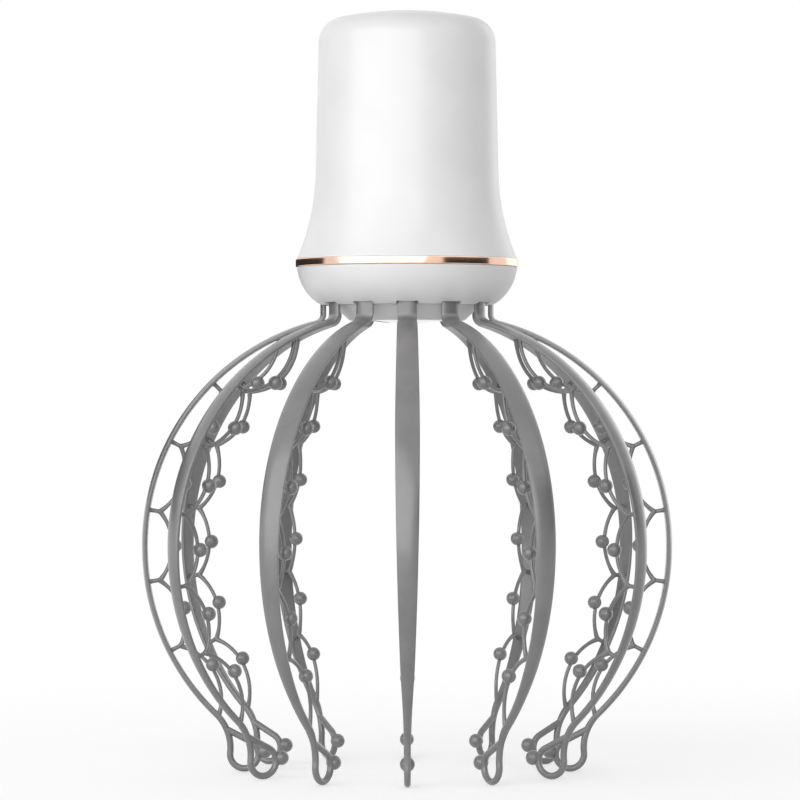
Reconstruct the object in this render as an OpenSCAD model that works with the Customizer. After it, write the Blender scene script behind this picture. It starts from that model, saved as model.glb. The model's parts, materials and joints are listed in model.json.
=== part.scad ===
// Electric scalp massager: a hand-held vibrating body with twelve springy claws.
// Millimetres, +Z up. It stands on the tips of its claws, on the plane z = 0.
// Headings and angles are in degrees. A point [r, z] lies in a plane through the body's axis.

/* [Claws] */
// Radius of the long arc that each claw follows, at the middle of the strip
arc_r = 77.5; // [70:0.5:90]
// Distance from the body's axis to the claws at their widest, at the middle of the strip
belly_r = 88.9; // [84:0.1:105]
// Height of the widest point above the tips
arc_z = 77; // [70:0.5:85]
// Where the long arc ends, counted round its centre from straight up
tail_a = 137; // [134:1:140]
// Thickness of the strip
strip_t = 2.0; // [1.6:0.1:2.6]
// Width of the strip at the root
root_w = 6.4; // [5:0.1:8]
// Width of the strip at its widest
belly_w = 8.0; // [6:0.1:10]
// Width of the strip where it turns into the tip's leg
tail_w = 2.9; // [2.4:0.1:4]
// Height at which the strip is widest
widest_z = 117; // [100:1:130]
// Radius of the elbow under the body, at the middle of the strip
elbow_r = 3.1; // [2.5:0.1:6]
// Straight neck between the elbow and the body
neck_l = 3.0; // [1:0.5:8]

/* [Claw lace] */
// Angle from one massage ball to the next, round the arc's centre
lace_pitch = 18.25; // [16:0.25:18.5]
// Angle of the first massage ball
first_ball_a = 35; // [32:0.5:38]
// Gap from the middle of the strip to the ball centres
ball_gap = 11.1; // [8:0.1:13]
// Radius of a massage ball
ball_r = 2.4; // [1.8:0.1:3]
// How far a ball's centre stands inside the wire that carries it
ball_stand = 0.9; // [0:0.1:1.5]
// Gap from the middle of the strip to the forks
fork_gap = 5.1; // [4:0.1:6.5]
// Width of the lace's scallops
lace_w = 1.3; // [1:0.1:2]
// Thickness of the lace across the claw
lace_t = 1.4; // [1:0.1:2]
// Width of the struts that carry the forks
strut_w = 1.5; // [1.2:0.1:2.2]
// Radius of the forks
fork_r = 1.1; // [0.9:0.1:1.6]

/* [Claw tips] */
// How far the middle of the tip's loop lies inward of the end of the long arc
tip_in = 9.955; // [9:0.005:11.5]
// Radius of the loop at the tip, at the middle of its band
tip_loop_r = 4.8; // [4:0.1:6]
// Half of the thickness of the tip's leg and loop
tip_wire_r = 1.15; // [1:0.05:1.5]
// Where the loop's inner leg joins its outer leg, as a share of the outer leg
tip_join = 0.44; // [0.35:0.01:0.6]
// Radius of the ball on the tip loop
tip_ball_r = 2.5; // [2:0.1:3]

/* [Claw hinges] */
// Radius of the barrel on which a claw is held
barrel_r = 2.2; // [1.8:0.1:2.6]
// How far the barrel stands out of the strip at each side
barrel_lug = 1.0; // [0.6:0.1:1.6]
// Height of the barrel's axis above the bottom of the bowl
barrel_h = 3.0; // [2.8:0.1:3.4]
// Outward swing of a claw
swing_out = 15; // [8:1:18]
// Inward swing of a claw
swing_in = 4; // [2:1:5]
// Gap between a swinging strip and its slot
slot_gap = 0.25; // [0.15:0.05:0.4]

/* [Body] */
// Radius of the grip just under its shoulder
grip_r = 30.0; // [28:0.2:34]
// Height of the upper housing
upper_h = 84; // [78:0.5:100]
// Slope of the grip's wall from vertical
draft = 1.3; // [0.5:0.1:2.5]
// Radius of the rounded shoulder
shoulder_r = 8.5; // [6:0.5:10]
// Radius of the gently domed crown
crown_r = 115; // [90:5:160]
// Radius of the hollow flare at the foot of the grip
flare_r = 80; // [70:1:90]
// Angle that the flare turns through
flare_a = 21.7; // [18:0.1:24]
// Wall of both housings
wall = 2.2; // [1.8:0.1:2.6]
// Height of the bowl below the trim ring
bowl_h = 13; // [12:0.5:16]
// Distance from the bowl's lower edge in to the middle of the claw roots
root_inset = 0.5; // [0.3:0.1:1]
// Chamfer on the outer edges of the housings and the base cap
edge_c = 0.3; // [0.1:0.05:0.5]
// Thickness of the ribs inside the housing and the frame
rib_t = 1.2; // [0.8:0.1:1.6]

/* [Trim ring] */
// Height of the trim ring
ring_h = 2.6; // [1.5:0.1:4]
// How far the trim ring stands out of the housings
ring_lip = 0.4; // [0.2:0.1:0.8]
// Chamfer on its edges
ring_chamfer = 0.3; // [0.1:0.05:0.5]

/* [Base] */
// Height of the base cap under the bowl
base_h = 5.1; // [4.5:0.1:7]
// Radius of the base cap's flat bottom
base_r = 19.5; // [18.5:0.1:21]
// Radius of the base cap where it meets the bowl
base_top_r = 25; // [24:0.1:25.6]
// Radius of the polished contact plate
plate_r = 12.4; // [10:0.1:14]
// Thickness of the contact plate's edge
plate_t = 1.0; // [0.8:0.1:1.4]
// Height of its dome
plate_dome = 1.1; // [0.8:0.1:2]

/* [Drive] */
// Radius of the vibration motor
motor_r = 10.2; // [8:0.1:12]
// Length of the vibration motor
motor_l = 25; // [20:0.5:30]
// Wall of the motor's can
can_t = 0.8; // [0.6:0.1:1.2]
// Thickness of the motor's magnets
magnet_t = 2.0; // [1.5:0.1:2.5]
// Radius of the motor shaft
shaft_r = 1.0; // [0.75:0.05:1.5]
// Radius of the eccentric weight
weight_r = 9.2; // [7:0.1:11]
// Height of the eccentric weight
weight_h = 4.5; // [3:0.1:6]

/* [Power] */
// Radius of the battery cell
cell_r = 9.15; // [7:0.05:9.2]
// Length of the battery cell
cell_l = 35; // [30:0.5:38]
// Height of the charging socket above the trim ring
socket_z = 15; // [12:0.5:20]
// Height of the indicator light above the charging socket
light_z = 9; // [7:0.5:12]

/* [Button] */
// Radius of the button in the crown
button_r = 7; // [5:0.1:8]
// Travel of the button
button_travel = 0.8; // [0.4:0.1:1]
// Depth of the finger dish in the button
dish_d = 0.35; // [0.2:0.05:0.5]
// Radius of the finger dish where it meets the crown
dish_r = 4.8; // [3.5:0.1:5]

/* [Hidden] */
$fn = 72;
claw_n = 12;
arc_step = 3;  // longest turn between two points of a drawn arc
run_gap = 0.05;  // running clearance round a shaft or barrel
fit_gap = 0.15;  // clearance between pieces that slide together when assembled
guide_gap = 0.25;  // clearance round the button and the parts in the wall

function claw_name(k) = str("claw_", k < 10 ? "0" : "", k);

// ---- Drawing arcs and runs of arcs in the plane [r, z] ----

function dir(a) = [cos(a), sin(a)];
function wrap(a) = a - 360 * round(a / 360);
function bearing(from, to) = atan2(to.y - from.y, to.x - from.x);

// Where an arc of radius r ends that starts at p with a heading and turns by a (left is positive)
function turned(p, heading, r, a) =
    p + sign(a) * r * [sin(heading + a) - sin(heading), cos(heading) - cos(heading + a)];

// Points of a run of moves: [length] goes straight on, [radius, turn] follows an arc
function run(p, heading, moves, i = 0) =
    i == len(moves) ? [p]
    : len(moves[i]) == 1
    ? concat([p], run(p + moves[i][0] * dir(heading), heading, moves, i + 1))
    : let (r = moves[i][0], a = moves[i][1], n = ceil(abs(a) / arc_step))
      concat([for (k = [0 : n - 1]) turned(p, heading, r, a * k / n)],
             run(turned(p, heading, r, a), heading + a, moves, i + 1));

// ---- Radii of the body, from the grip down ----

crown_a = asin((grip_r - shoulder_r * cos(draft)) / (crown_r - shoulder_r));
crown_drop = crown_r * (1 - cos(crown_a));
shoulder_drop = shoulder_r * (cos(crown_a) - sin(draft));
flare_drop = flare_r * (sin(flare_a + draft) - sin(draft));
grip_l = (upper_h - crown_drop - shoulder_drop - flare_drop) / cos(draft);
flare_top_r = grip_r + grip_l * sin(draft);
rim_r = flare_top_r + flare_r * (cos(draft) - cos(flare_a + draft));
ring_r = rim_r + ring_lip;
bowl_turn = [95, 151];  // the bowl's arc starts nearly upright and ends nearly flat
bowl_arc_r = bowl_h / (cos(bowl_turn[0]) - cos(bowl_turn[1]));
lip_r = rim_r - bowl_arc_r * (sin(bowl_turn[0]) - sin(bowl_turn[1]));
root_r = lip_r - root_inset;

// ---- The claw's outline in its own plane ----

arc_c = [belly_r - arc_r, arc_z];
elbow_c = [root_r + elbow_r,
           arc_z + sqrt(pow(arc_r + elbow_r, 2) - pow(root_r + elbow_r - arc_c.x, 2))];
neck_a = asin((elbow_c.x - arc_c.x) / (arc_r + elbow_r));
function round_arc(r, a) = arc_c + r * [sin(a), cos(a)];

tail = round_arc(arc_r, tail_a);
tip_c = [tail.x - tip_in, tip_loop_r + tip_wire_r];
tail_n = [sin(tail_a), cos(tail_a)];
leg_r = (pow(norm(tail - tip_c), 2) - pow(tip_loop_r, 2))
        / (2 * (tip_loop_r - (tail - tip_c) * tail_n));
leg_c = tail + leg_r * tail_n;
leg_turn = wrap(bearing(leg_c, tip_c) - bearing(leg_c, tail));
join = leg_c + leg_r * dir(bearing(leg_c, tail) + tip_join * leg_turn);
inner_leg_a = bearing(tip_c, join) + acos(tip_loop_r / norm(join - tip_c));
inner_leg = tip_c + tip_loop_r * dir(inner_leg_a);

// ---- The lace, in polar places round the arc's centre ----

ball_n = 6;
function ball_a(i) = first_ball_a + i * lace_pitch;
ball_pass_r = arc_r - ball_gap + ball_stand;
fork_place_r = arc_r - fork_gap;
// The scallops pass the balls and end at the forks
scallop_r = (pow(fork_place_r, 2) + pow(ball_pass_r, 2)
             - 2 * fork_place_r * ball_pass_r * cos(lace_pitch / 2))
            / (2 * (fork_place_r * cos(lace_pitch / 2) - ball_pass_r));
scallop_c_r = ball_pass_r + scallop_r;
// Half of the turn of a scallop that ends at a given distance from the arc's centre
function scallop_half(end_r) = acos((pow(scallop_r, 2) + pow(scallop_c_r, 2) - pow(end_r, 2))
                                    / (2 * scallop_r * scallop_c_r));

// ---- Heights of the body, from the claws up ----

seam_z = elbow_c.y + neck_l;
hinge_z = seam_z + barrel_h;
ring_z = seam_z + bowl_h;
upper_z = ring_z + ring_h;
top_z = upper_z + upper_h;
hinge = [root_r, hinge_z];

// ---- Inside surfaces that other pieces fit ----

flare_c = [flare_top_r + flare_r * cos(draft), upper_z + flare_r * sin(flare_a + draft)];
function grip_out_r(z) =
    z < flare_c.y - flare_r * sin(draft)
    ? flare_c.x - sqrt(pow(flare_r, 2) - pow(z - flare_c.y, 2))
    : flare_top_r - (z - flare_c.y + flare_r * sin(draft)) * tan(draft);
function grip_in_r(z) =
    z < flare_c.y - flare_r * sin(draft)
    ? flare_c.x - sqrt(pow(flare_r + wall, 2) - pow(z - flare_c.y, 2))
    : grip_out_r(z) - wall / cos(draft);
bowl_c = [rim_r - bowl_arc_r * sin(bowl_turn[0]), ring_z - bowl_arc_r * cos(bowl_turn[0])];
function bowl_in_r(z) = bowl_c.x + sqrt(pow(bowl_arc_r - wall, 2) - pow(z - bowl_c.y, 2));

spigot_h = 4.4;  // collar of the lower housing inside the upper one
spigot_top = upper_z + spigot_h;
spigot_r = grip_in_r(upper_z) - fit_gap;
spigot_in_r = grip_in_r(spigot_top) - fit_gap - 1.8;
snap_z = upper_z + 2.6;  // height of the snap bead that holds the housings together
snap_r = 0.5;
ledge_z = ring_z - 2.4;
floor_z = seam_z + 2;
floor_hole_r = plate_r + 0.6;
seat_in_r = base_top_r + 0.4;

// ---- Small parts ----

clamp_h = 4;
clamp_in_r = seat_in_r - 3;
clamp_out_r = bowl_in_r(hinge_z) - fit_gap;
screw_r = 0.95;
screw_hole_r = 1.0;
head_r = 1.9;
head_h = 1.3;
clamp_screw_n = 6;
clamp_screw_r = root_r - 1.2;
clamp_bite = 2.2;
base_screw_n = 3;
base_screw_r = base_r - 0.6;
base_floor_t = 2.4;
base_z = seam_z - base_h;
base_bite = base_h - 1.4;
stud_r = 2;
nut_r = 3.7;
nut_h = 1.8;

// The drive hangs in the collar of the frame
frame_z = spigot_top;
frame_t = 2;
frame_r = grip_in_r(frame_z + frame_t) - 0.4;
frame_screw_n = 3;
frame_boss_r = 2.6;
frame_screw_r = spigot_in_r - 1.6;
frame_bite = 6;
motor_z = ledge_z + 1.4;
bush_r = 3;
bush_l = 4;
bush_out = 1.6;
sleeve_t = 1.2;
collar_in_r = motor_r + sleeve_t + 2 * run_gap;
collar_t = 2;
collar_z = motor_z + 2;
collar_h = 20;
weight_z = motor_z - bush_out - 0.6 - weight_h;
can_floor_t = 1.2;
end_cap_t = 2.5;
end_cap_z = motor_z + motor_l - 1.5 - end_cap_t;
magnet_out_r = motor_r - can_t - run_gap;
magnet_a = 125;  // angle that each magnet covers
armature_gap = 0.4;
armature_r = magnet_out_r - magnet_t - armature_gap;
armature_z = motor_z + can_floor_t + 3.4;
armature_l = motor_l - 14;
pole_n = 3;
commutator_r = 2.6;
commutator_l = 3;

// The cell stands in a cradle above the motor, and the board stands behind it
cradle_z = motor_z + motor_l + 3;
cradle_floor_t = 2;
cradle_in_r = cell_r + fit_gap;
cradle_t = 1.8;
cell_z = cradle_z + cradle_floor_t + 0.5;
back_y = cradle_in_r + cradle_t + 1.2;
back_t = 2;
back_w = 24;
board_y = back_y + back_t + 7.5;
board_t = 1.6;
board_w = 27;
board_z = upper_z + 9.5;
board_l = 56;
back_l = board_z + board_l - 4 - frame_z;
board_hole = [10.5, 3.5];  // from the board's middle and from its ends
post_r = 2.2;

port_z = upper_z + socket_z;
port_w = 8.94;
port_h = 3.26;
port_recess = 1.2;
lamp_z = port_z + light_z;
lamp_r = 1.5;

// The switch hangs under the crown on a small round board
crown_in_z = top_z - wall;
button_edge_z = top_z - crown_r + sqrt(pow(crown_r, 2) - pow(button_r + guide_gap, 2));
switch_board_r = 16;
switch_board_z = crown_in_z - 8.9;
switch_boss_r = 12;
switch_w = 6;
switch_h = 3.5;
plunger_r = 1.7;
plunger_h = 1.0;
flange_t = 1.2;
flange_z = crown_in_z - 0.6 - flange_t;

// ---- Shared modules ----

module ring_of(n, r, first = 0) {
    for (k = [0 : n - 1])
        rotate([0, 0, first + 360 * k / n]) translate([r, 0, 0]) children();
}

// A tube or disc round the body's axis
module ring(out_r, in_r, z, h) {
    difference() {
        translate([0, 0, z]) cylinder(r = out_r, h = h);
        if (in_r > 0) translate([0, 0, z - 1]) cylinder(r = in_r, h = h + 2);
    }
}

// A pan-head screw, head up, with its seat at the origin
module screw(length) {
    translate([0, 0, -length]) cylinder(r = screw_r, h = length);
    difference() {
        cylinder(r = head_r, h = head_h);
        translate([0, 0, head_h - 0.8]) cylinder(r = 1.1, h = 2, $fn = 6);
    }
}

// A flat-sided slot shape with round ends, standing along Y
module stadium(w, h, length) {
    straight = w - h;
    rotate([-90, 0, 0]) {
        translate([-straight / 2, -h / 2, 0]) cube([straight, h, length]);
        for (s = [-1, 1]) translate([s * straight / 2, 0, 0]) cylinder(r = h / 2, h = length);
    }
}

// ---- Housings ----

crown_run = [[crown_r, -crown_a], [shoulder_r, crown_a + draft - 90], [grip_l], [flare_r, flare_a]];
function inside_of(moves) =
    [for (m = moves) len(m) == 1 ? m : [m[0] + sign(m[1]) * wall, m[1]]];

module grip_solid(inset) {
    outline = run([0, top_z - inset], 0, inset > 0 ? inside_of(crown_run) : crown_run);
    rotate_extrude() polygon(concat(outline, [[0, outline[len(outline) - 1].y]]));
}

// Cuts a chamfer round the foot of the grip
module rim_chamfer() {
    rotate_extrude() polygon([
        [rim_r - edge_c, upper_z - 0.01], [rim_r + 1, upper_z - 0.01],
        [rim_r + 1, upper_z + edge_c + 1]]);
}

// Ribs that stiffen the crown, from the wall to the bosses of the switch board
module crown_ribs() {
    intersection() {
        grip_solid(wall / 2);
        ring_of(6, 0) translate([switch_boss_r - 1, -rib_t / 2, crown_in_z - 3.6])
            cube([grip_r, rib_t, 10]);
    }
}

module upper_housing() {
    color("white") difference() {
        union() {
            difference() {
                grip_solid(0);
                grip_solid(wall);
                rim_chamfer();
            }
            crown_ribs();
            ring_of(3, switch_boss_r, 30) translate([0, 0, switch_board_z + board_t])
                cylinder(r = 2.4, h = crown_in_z - switch_board_z - board_t);
        }
        // Screw holes in the three bosses
        ring_of(3, switch_boss_r, 30) translate([0, 0, switch_board_z])
            cylinder(r = screw_hole_r, h = 6.6);
        // Hole for the button
        translate([0, 0, crown_in_z - 3]) cylinder(r = button_r + guide_gap, h = 10);
        translate([0, 0, button_edge_z - edge_c])
            cylinder(r1 = button_r + guide_gap, r2 = button_r + guide_gap + 2 * edge_c, h = 2 * edge_c);
        // Groove for the snap bead
        rotate_extrude() translate([grip_in_r(snap_z) - fit_gap, snap_z]) circle(snap_r + fit_gap);
        // Openings for the charging socket and the light
        translate([0, 20, port_z])
            stadium(port_w + 2 * guide_gap, port_h + 2 * guide_gap, 30);
        translate([0, 20, lamp_z]) rotate([-90, 0, 0]) cylinder(r = lamp_r + fit_gap / 3, h = 30);
    }
}

module trim_ring() {
    in_r = spigot_r + fit_gap;
    c = ring_chamfer;
    color("peru") rotate_extrude() polygon([
        [in_r, ring_z], [ring_r - c, ring_z], [ring_r, ring_z + c],
        [ring_r, upper_z - c], [ring_r - c, upper_z], [in_r, upper_z]]);
}

// Pocket for one claw's barrel, and the fan-shaped slot that its strip swings in
module claw_pocket(barrel_only = false) {
    slot_h = strip_t / 2 + slot_gap;
    down = barrel_h + 2;
    translate([root_r, 0, hinge_z]) {
        rotate([90, 0, 0])
            cylinder(r = barrel_r + run_gap, h = root_w + 2 * barrel_lug + 2 * guide_gap, center = true);
        if (!barrel_only)
            rotate([90, 0, 0]) linear_extrude(root_w + 2 * guide_gap, center = true)
                polygon([[-slot_h, 0.4], [-slot_h - down * tan(swing_in), -down],
                         [slot_h + down * tan(swing_out), -down], [slot_h, 0.4]]);
    }
}

module lower_housing() {
    bowl = run([rim_r, ring_z], -bowl_turn[0], [[bowl_arc_r, bowl_turn[0] - bowl_turn[1]]]);
    wall_n = 8;
    cavity_wall = [for (k = [0 : wall_n])
        let (z = hinge_z + (ledge_z - hinge_z) * k / wall_n) [bowl_in_r(z), z]];
    collar_wall = [for (k = [0 : 4])
        let (z = upper_z + spigot_h * k / 4) [grip_in_r(z) - fit_gap, z]];
    color("whitesmoke") difference() {
        union() {
            difference() {
                union() {
                    rotate_extrude() polygon(concat(bowl, [[0, seam_z], [0, ring_z]]));
                    rotate_extrude() polygon(concat([[0, ledge_z], [spigot_r, ledge_z]], collar_wall,
                                                    [[0, spigot_top]]));
                    rotate_extrude() translate([grip_in_r(snap_z) - fit_gap, snap_z]) circle(snap_r);
                }
                rotate_extrude() polygon(concat(
                    [[0, floor_z], [seat_in_r, floor_z], [seat_in_r, hinge_z]], cavity_wall,
                    [[spigot_in_r, ledge_z], [spigot_in_r, spigot_top + 1], [0, spigot_top + 1]]));
            }
            ring_of(frame_screw_n, frame_screw_r, 45) translate([0, 0, ledge_z])
                cylinder(r = frame_boss_r, h = spigot_top - ledge_z);
        }
        translate([0, 0, seam_z - 1]) cylinder(r = floor_hole_r, h = 10);
        ring_of(claw_n, 0) claw_pocket();
        ring_of(clamp_screw_n, clamp_screw_r, 180 / claw_n) translate([0, 0, hinge_z - clamp_bite])
            cylinder(r = screw_hole_r, h = 10);
        ring_of(base_screw_n, base_screw_r, 30) translate([0, 0, seam_z - 1])
            cylinder(r = screw_hole_r + fit_gap, h = 4);
        ring_of(frame_screw_n, frame_screw_r, 45) translate([0, 0, spigot_top - frame_bite])
            cylinder(r = screw_hole_r, h = 10);
    }
}

// ---- Base ----

module base_cap() {
    color("gainsboro") difference() {
        union() {
            difference() {
                rotate_extrude() polygon([
                    [0, base_z], [base_r - edge_c, base_z],
                    [base_r + (base_top_r - base_r) * edge_c / base_h, base_z + edge_c],
                    [base_top_r, seam_z], [0, seam_z]]);
                translate([0, 0, base_z + base_floor_t])
                    cylinder(r1 = base_r - wall / 2, r2 = base_top_r - wall, h = base_h - base_floor_t + 0.01);
            }
            // Ring that centres the cap in the floor of the bowl
            ring(floor_hole_r - fit_gap, floor_hole_r - 1.6, base_z + base_floor_t - 0.5,
                 base_h - base_floor_t + 2);
            ring_of(base_screw_n, base_screw_r, 30) translate([0, 0, base_z + 1])
                cylinder(r = 2.3, h = base_h - 1);
        }
        translate([0, 0, base_z - 1]) cylinder(r = plate_r + fit_gap, h = plate_t + 1);
        translate([0, 0, base_z - 1]) cylinder(r = stud_r + fit_gap, h = 10);
        ring_of(base_screw_n, base_screw_r, 30) translate([0, 0, seam_z - base_bite])
            cylinder(r = screw_hole_r, h = 10);
    }
}

module contact_plate() {
    dome_r = (pow(plate_r, 2) + pow(plate_dome, 2)) / (2 * plate_dome);
    color("silver") {
        translate([0, 0, base_z]) cylinder(r = plate_r, h = plate_t);
        intersection() {
            translate([0, 0, base_z - plate_dome + dome_r]) sphere(dome_r, $fn = 200);
            translate([0, 0, base_z - 3]) cylinder(r = plate_r, h = 3);
        }
        translate([0, 0, base_z]) cylinder(r = stud_r, h = base_floor_t + nut_h + 0.5);
    }
}

module plate_nut() {
    color("gray") translate([0, 0, base_z + base_floor_t]) difference() {
        cylinder(r = nut_r, h = nut_h, $fn = 6);
        translate([0, 0, -1]) cylinder(r = stud_r + run_gap, h = nut_h + 2);
    }
}

// ---- What holds the claws ----

module claw_clamp_ring() {
    color("darkgray") difference() {
        ring(clamp_out_r, clamp_in_r, hinge_z, clamp_h);
        ring_of(claw_n, 0) claw_pocket(barrel_only = true);
        ring_of(clamp_screw_n, clamp_screw_r, 180 / claw_n) translate([0, 0, hinge_z - 1])
            cylinder(r = screw_hole_r + fit_gap, h = 10);
    }
}

module clamp_screws() {
    color("gray") ring_of(clamp_screw_n, clamp_screw_r, 180 / claw_n)
        translate([0, 0, hinge_z + clamp_h]) screw(clamp_h + clamp_bite - 0.3);
}

module base_screws() {
    color("gray") ring_of(base_screw_n, base_screw_r, 30)
        translate([0, 0, floor_z]) screw(floor_z - seam_z + base_bite - 0.3);
}

// ---- Inner frame ----

module inner_frame() {
    color("dimgray") difference() {
        union() {
            ring(frame_r, collar_in_r, frame_z, frame_t);
            ring(collar_in_r + collar_t, collar_in_r, collar_z, collar_h);
            // Gussets between the plate and the collar
            for (a = [20, 160, 200, 245, 295, 340])
                rotate([90, 0, a]) translate([0, 0, -rib_t / 2]) linear_extrude(rib_t) polygon([
                    [collar_in_r + collar_t - 1, frame_z + 0.5], [frame_r - 7, frame_z + 0.5],
                    [frame_r - 7, frame_z + frame_t + 1], [collar_in_r + collar_t, frame_z + 11],
                    [collar_in_r + collar_t - 1, frame_z + 11]]);
            // Back plate that carries the board
            translate([-back_w / 2, back_y, frame_z]) cube([back_w, back_t, back_l]);
            // Cradle for the cell, on two columns beside the motor
            translate([0, 0, cradle_z]) cylinder(r = cradle_in_r + cradle_t, h = cell_l * 0.8);
            for (s = [-1, 1])
                translate([s * (collar_in_r + collar_t) - 1.6, -3, frame_z])
                    cube([3.2, 6, cradle_z + cradle_floor_t - frame_z]);
            translate([-collar_in_r - collar_t, -3, cradle_z])
                cube([2 * (collar_in_r + collar_t), 6, cradle_floor_t]);
            translate([-4, cradle_in_r, cradle_z]) cube([8, back_y - cradle_in_r + 0.5, cell_l * 0.8]);
            // Posts for the board
            for (s = [-1, 1], z = [board_hole.y, board_l - board_hole.y])
                translate([s * board_hole.x, back_y + back_t - 0.5, board_z + z])
                    rotate([-90, 0, 0]) cylinder(r = post_r, h = board_y - back_y - back_t + 0.5);
        }
        translate([0, 0, cradle_z + cradle_floor_t]) cylinder(r = cradle_in_r, h = cell_l);
        // Bore for the motor in its sleeve, and room for the motor above the collar
        translate([0, 0, frame_z - 1])
            cylinder(r = collar_in_r, h = motor_z + motor_l + 1.5 - frame_z);
        // Open front, so that the cell can be pressed in
        translate([-30, -30 - cell_r * 0.35, cradle_z + cradle_floor_t]) cube([60, 30, cell_l]);
        ring_of(frame_screw_n, frame_screw_r, 45) translate([0, 0, frame_z - 1])
            cylinder(r = screw_hole_r + fit_gap, h = 10);
        for (s = [-1, 1], z = [board_hole.y, board_l - board_hole.y])
            translate([s * board_hole.x, board_y - 6, board_z + z])
                rotate([-90, 0, 0]) cylinder(r = screw_hole_r, h = 10);
    }
}

module frame_screws() {
    color("gray") ring_of(frame_screw_n, frame_screw_r, 45)
        translate([0, 0, frame_z + frame_t]) screw(frame_t + frame_bite - 0.5);
}

// ---- Drive ----

module motor_can() {
    can_l = motor_l - 1.5;
    color("silver") difference() {
        translate([0, 0, motor_z]) cylinder(r = motor_r, h = can_l);
        translate([0, 0, motor_z + can_floor_t]) cylinder(r = motor_r - can_t, h = can_l);
        translate([0, 0, motor_z - 1]) cylinder(r = bush_r + run_gap, h = can_floor_t + 2);
        // Vents at the brush end
        for (a = [0, 180]) rotate([0, 0, a])
            translate([motor_r - 2, -2, end_cap_z - 4.5]) cube([4, 4, 2.5]);
    }
}

module motor_end_cap() {
    color("black") difference() {
        union() {
            translate([0, 0, end_cap_z]) cylinder(r = motor_r - can_t - run_gap, h = end_cap_t);
            translate([0, 0, end_cap_z]) cylinder(r = shaft_r + 2, h = motor_z + motor_l - end_cap_z);
            // Terminals for the leads
            for (x = [-1, 1]) translate([x * (motor_r - 4) - 0.4, -1.2, end_cap_z])
                cube([0.8, 2.4, end_cap_t + 2.5]);
        }
        translate([0, 0, end_cap_z - 1]) cylinder(r = shaft_r + run_gap, h = 3.3);
    }
}

// Two magnets against the wall of the can
module motor_magnets() {
    color("dimgray") for (a = [90, 270]) rotate([0, 0, a - magnet_a / 2])
        rotate_extrude(angle = magnet_a)
            translate([magnet_out_r - magnet_t, armature_z - 1]) square([magnet_t, armature_l + 2]);
}

// Three-pole armature with its windings and commutator
module motor_armature() {
    neck_r = armature_r * 0.45;
    color("peru") translate([0, 0, armature_z]) difference() {
        union() {
            difference() {
                cylinder(r = armature_r, h = armature_l);
                for (k = [0 : pole_n - 1]) rotate([0, 0, 360 * k / pole_n]) translate([neck_r, -0.7, -1])
                    cube([armature_r, 1.4, armature_l + 2]);
            }
            translate([0, 0, -1.2]) cylinder(r = armature_r - 1, h = armature_l + 2.4);
            translate([0, 0, armature_l + 1]) cylinder(r = commutator_r, h = commutator_l);
        }
        translate([0, 0, -2]) cylinder(r = shaft_r + 0.02, h = armature_l + commutator_l + 4);
    }
}

module motor_bush() {
    color("goldenrod")
        ring(bush_r, shaft_r + run_gap, motor_z - bush_out, bush_l);
}

module motor_sleeve() {
    color("black") ring(motor_r + run_gap + sleeve_t, motor_r + run_gap, collar_z, collar_h);
}

module motor_shaft() {
    color("lightgray") translate([0, 0, weight_z - 0.5])
        cylinder(r = shaft_r, h = end_cap_z + 1.6 - weight_z);
}

module eccentric_weight() {
    color("goldenrod") translate([0, 0, weight_z]) difference() {
        union() {
            intersection() {
                cylinder(r = weight_r, h = weight_h);
                translate([-weight_r, -weight_r - 0.5, 0]) cube([2 * weight_r, weight_r, weight_h]);
            }
            cylinder(r = shaft_r + 1.6, h = weight_h);
        }
        translate([0, 0, -1]) cylinder(r = shaft_r + 0.02, h = weight_h + 2);
    }
}

// ---- Power ----

module battery_cell() {
    color("royalblue") {
        translate([0, 0, cell_z]) cylinder(r = cell_r, h = cell_l);
        translate([0, 0, cell_z + cell_l]) cylinder(r = 3, h = 0.8);
    }
}

// Contact strips under and over the cell, each bent up or down to the board side
module battery_contacts() {
    strip = [5, 0.3];
    color("silver") {
        translate([-strip.x / 2, -4, cell_z - strip.y]) cube([strip.x, 8, strip.y]);
        translate([-strip.x / 2, -4, cell_z + cell_l + 0.8])
            cube([strip.x, back_y + 4.3, strip.y]);
        translate([-strip.x / 2, back_y - strip.y, cell_z + cell_l - 5])
            cube([strip.x, strip.y, 5.8]);
    }
}

module control_board() {
    color("darkgreen") difference() {
        translate([-board_w / 2, board_y, board_z]) cube([board_w, board_t, board_l]);
        for (s = [-1, 1], z = [board_hole.y, board_l - board_hole.y])
            translate([s * board_hole.x, board_y - 1, board_z + z])
                rotate([-90, 0, 0]) cylinder(r = screw_hole_r + fit_gap, h = 4);
    }
}

module board_screws() {
    color("gray") for (s = [-1, 1], z = [board_hole.y, board_l - board_hole.y])
        translate([s * board_hole.x, board_y + board_t, board_z + z])
            rotate([-90, 0, 0]) screw(6);
}

// Chips, coil and capacitors on the front of the board
module board_parts() {
    chips = [[-5, 14, 5, 5, 1], [6, 16, 4, 3, 1.2], [-4, 26, 7, 7, 1.4], [6, 28, 3, 3, 0.9],
             [-7, 40, 4, 5, 1.5], [7, 42, 5, 4, 1.1]];
    color("black") {
        for (c = chips)
            translate([c[0] - c[2] / 2, board_y - c[4], board_z + c[1] - c[3] / 2])
                cube([c[2], c[4], c[3]]);
        for (x = [-1, 1]) translate([x * 4, board_y, board_z + 48])
            rotate([90, 0, 0]) cylinder(r = 2.5, h = 5);
    }
}

module charging_socket() {
    shell_t = 0.35;
    length = grip_out_r(port_z) - port_recess - board_y - board_t;
    color("silver") translate([0, board_y + board_t, port_z]) {
        difference() {
            stadium(port_w, port_h, length);
            translate([0, 2, 0]) stadium(port_w - 2 * shell_t, port_h - 2 * shell_t, length);
        }
        translate([-3.3, 1.5, -0.35]) cube([6.6, length - 2.5, 0.7]);
    }
}

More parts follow.
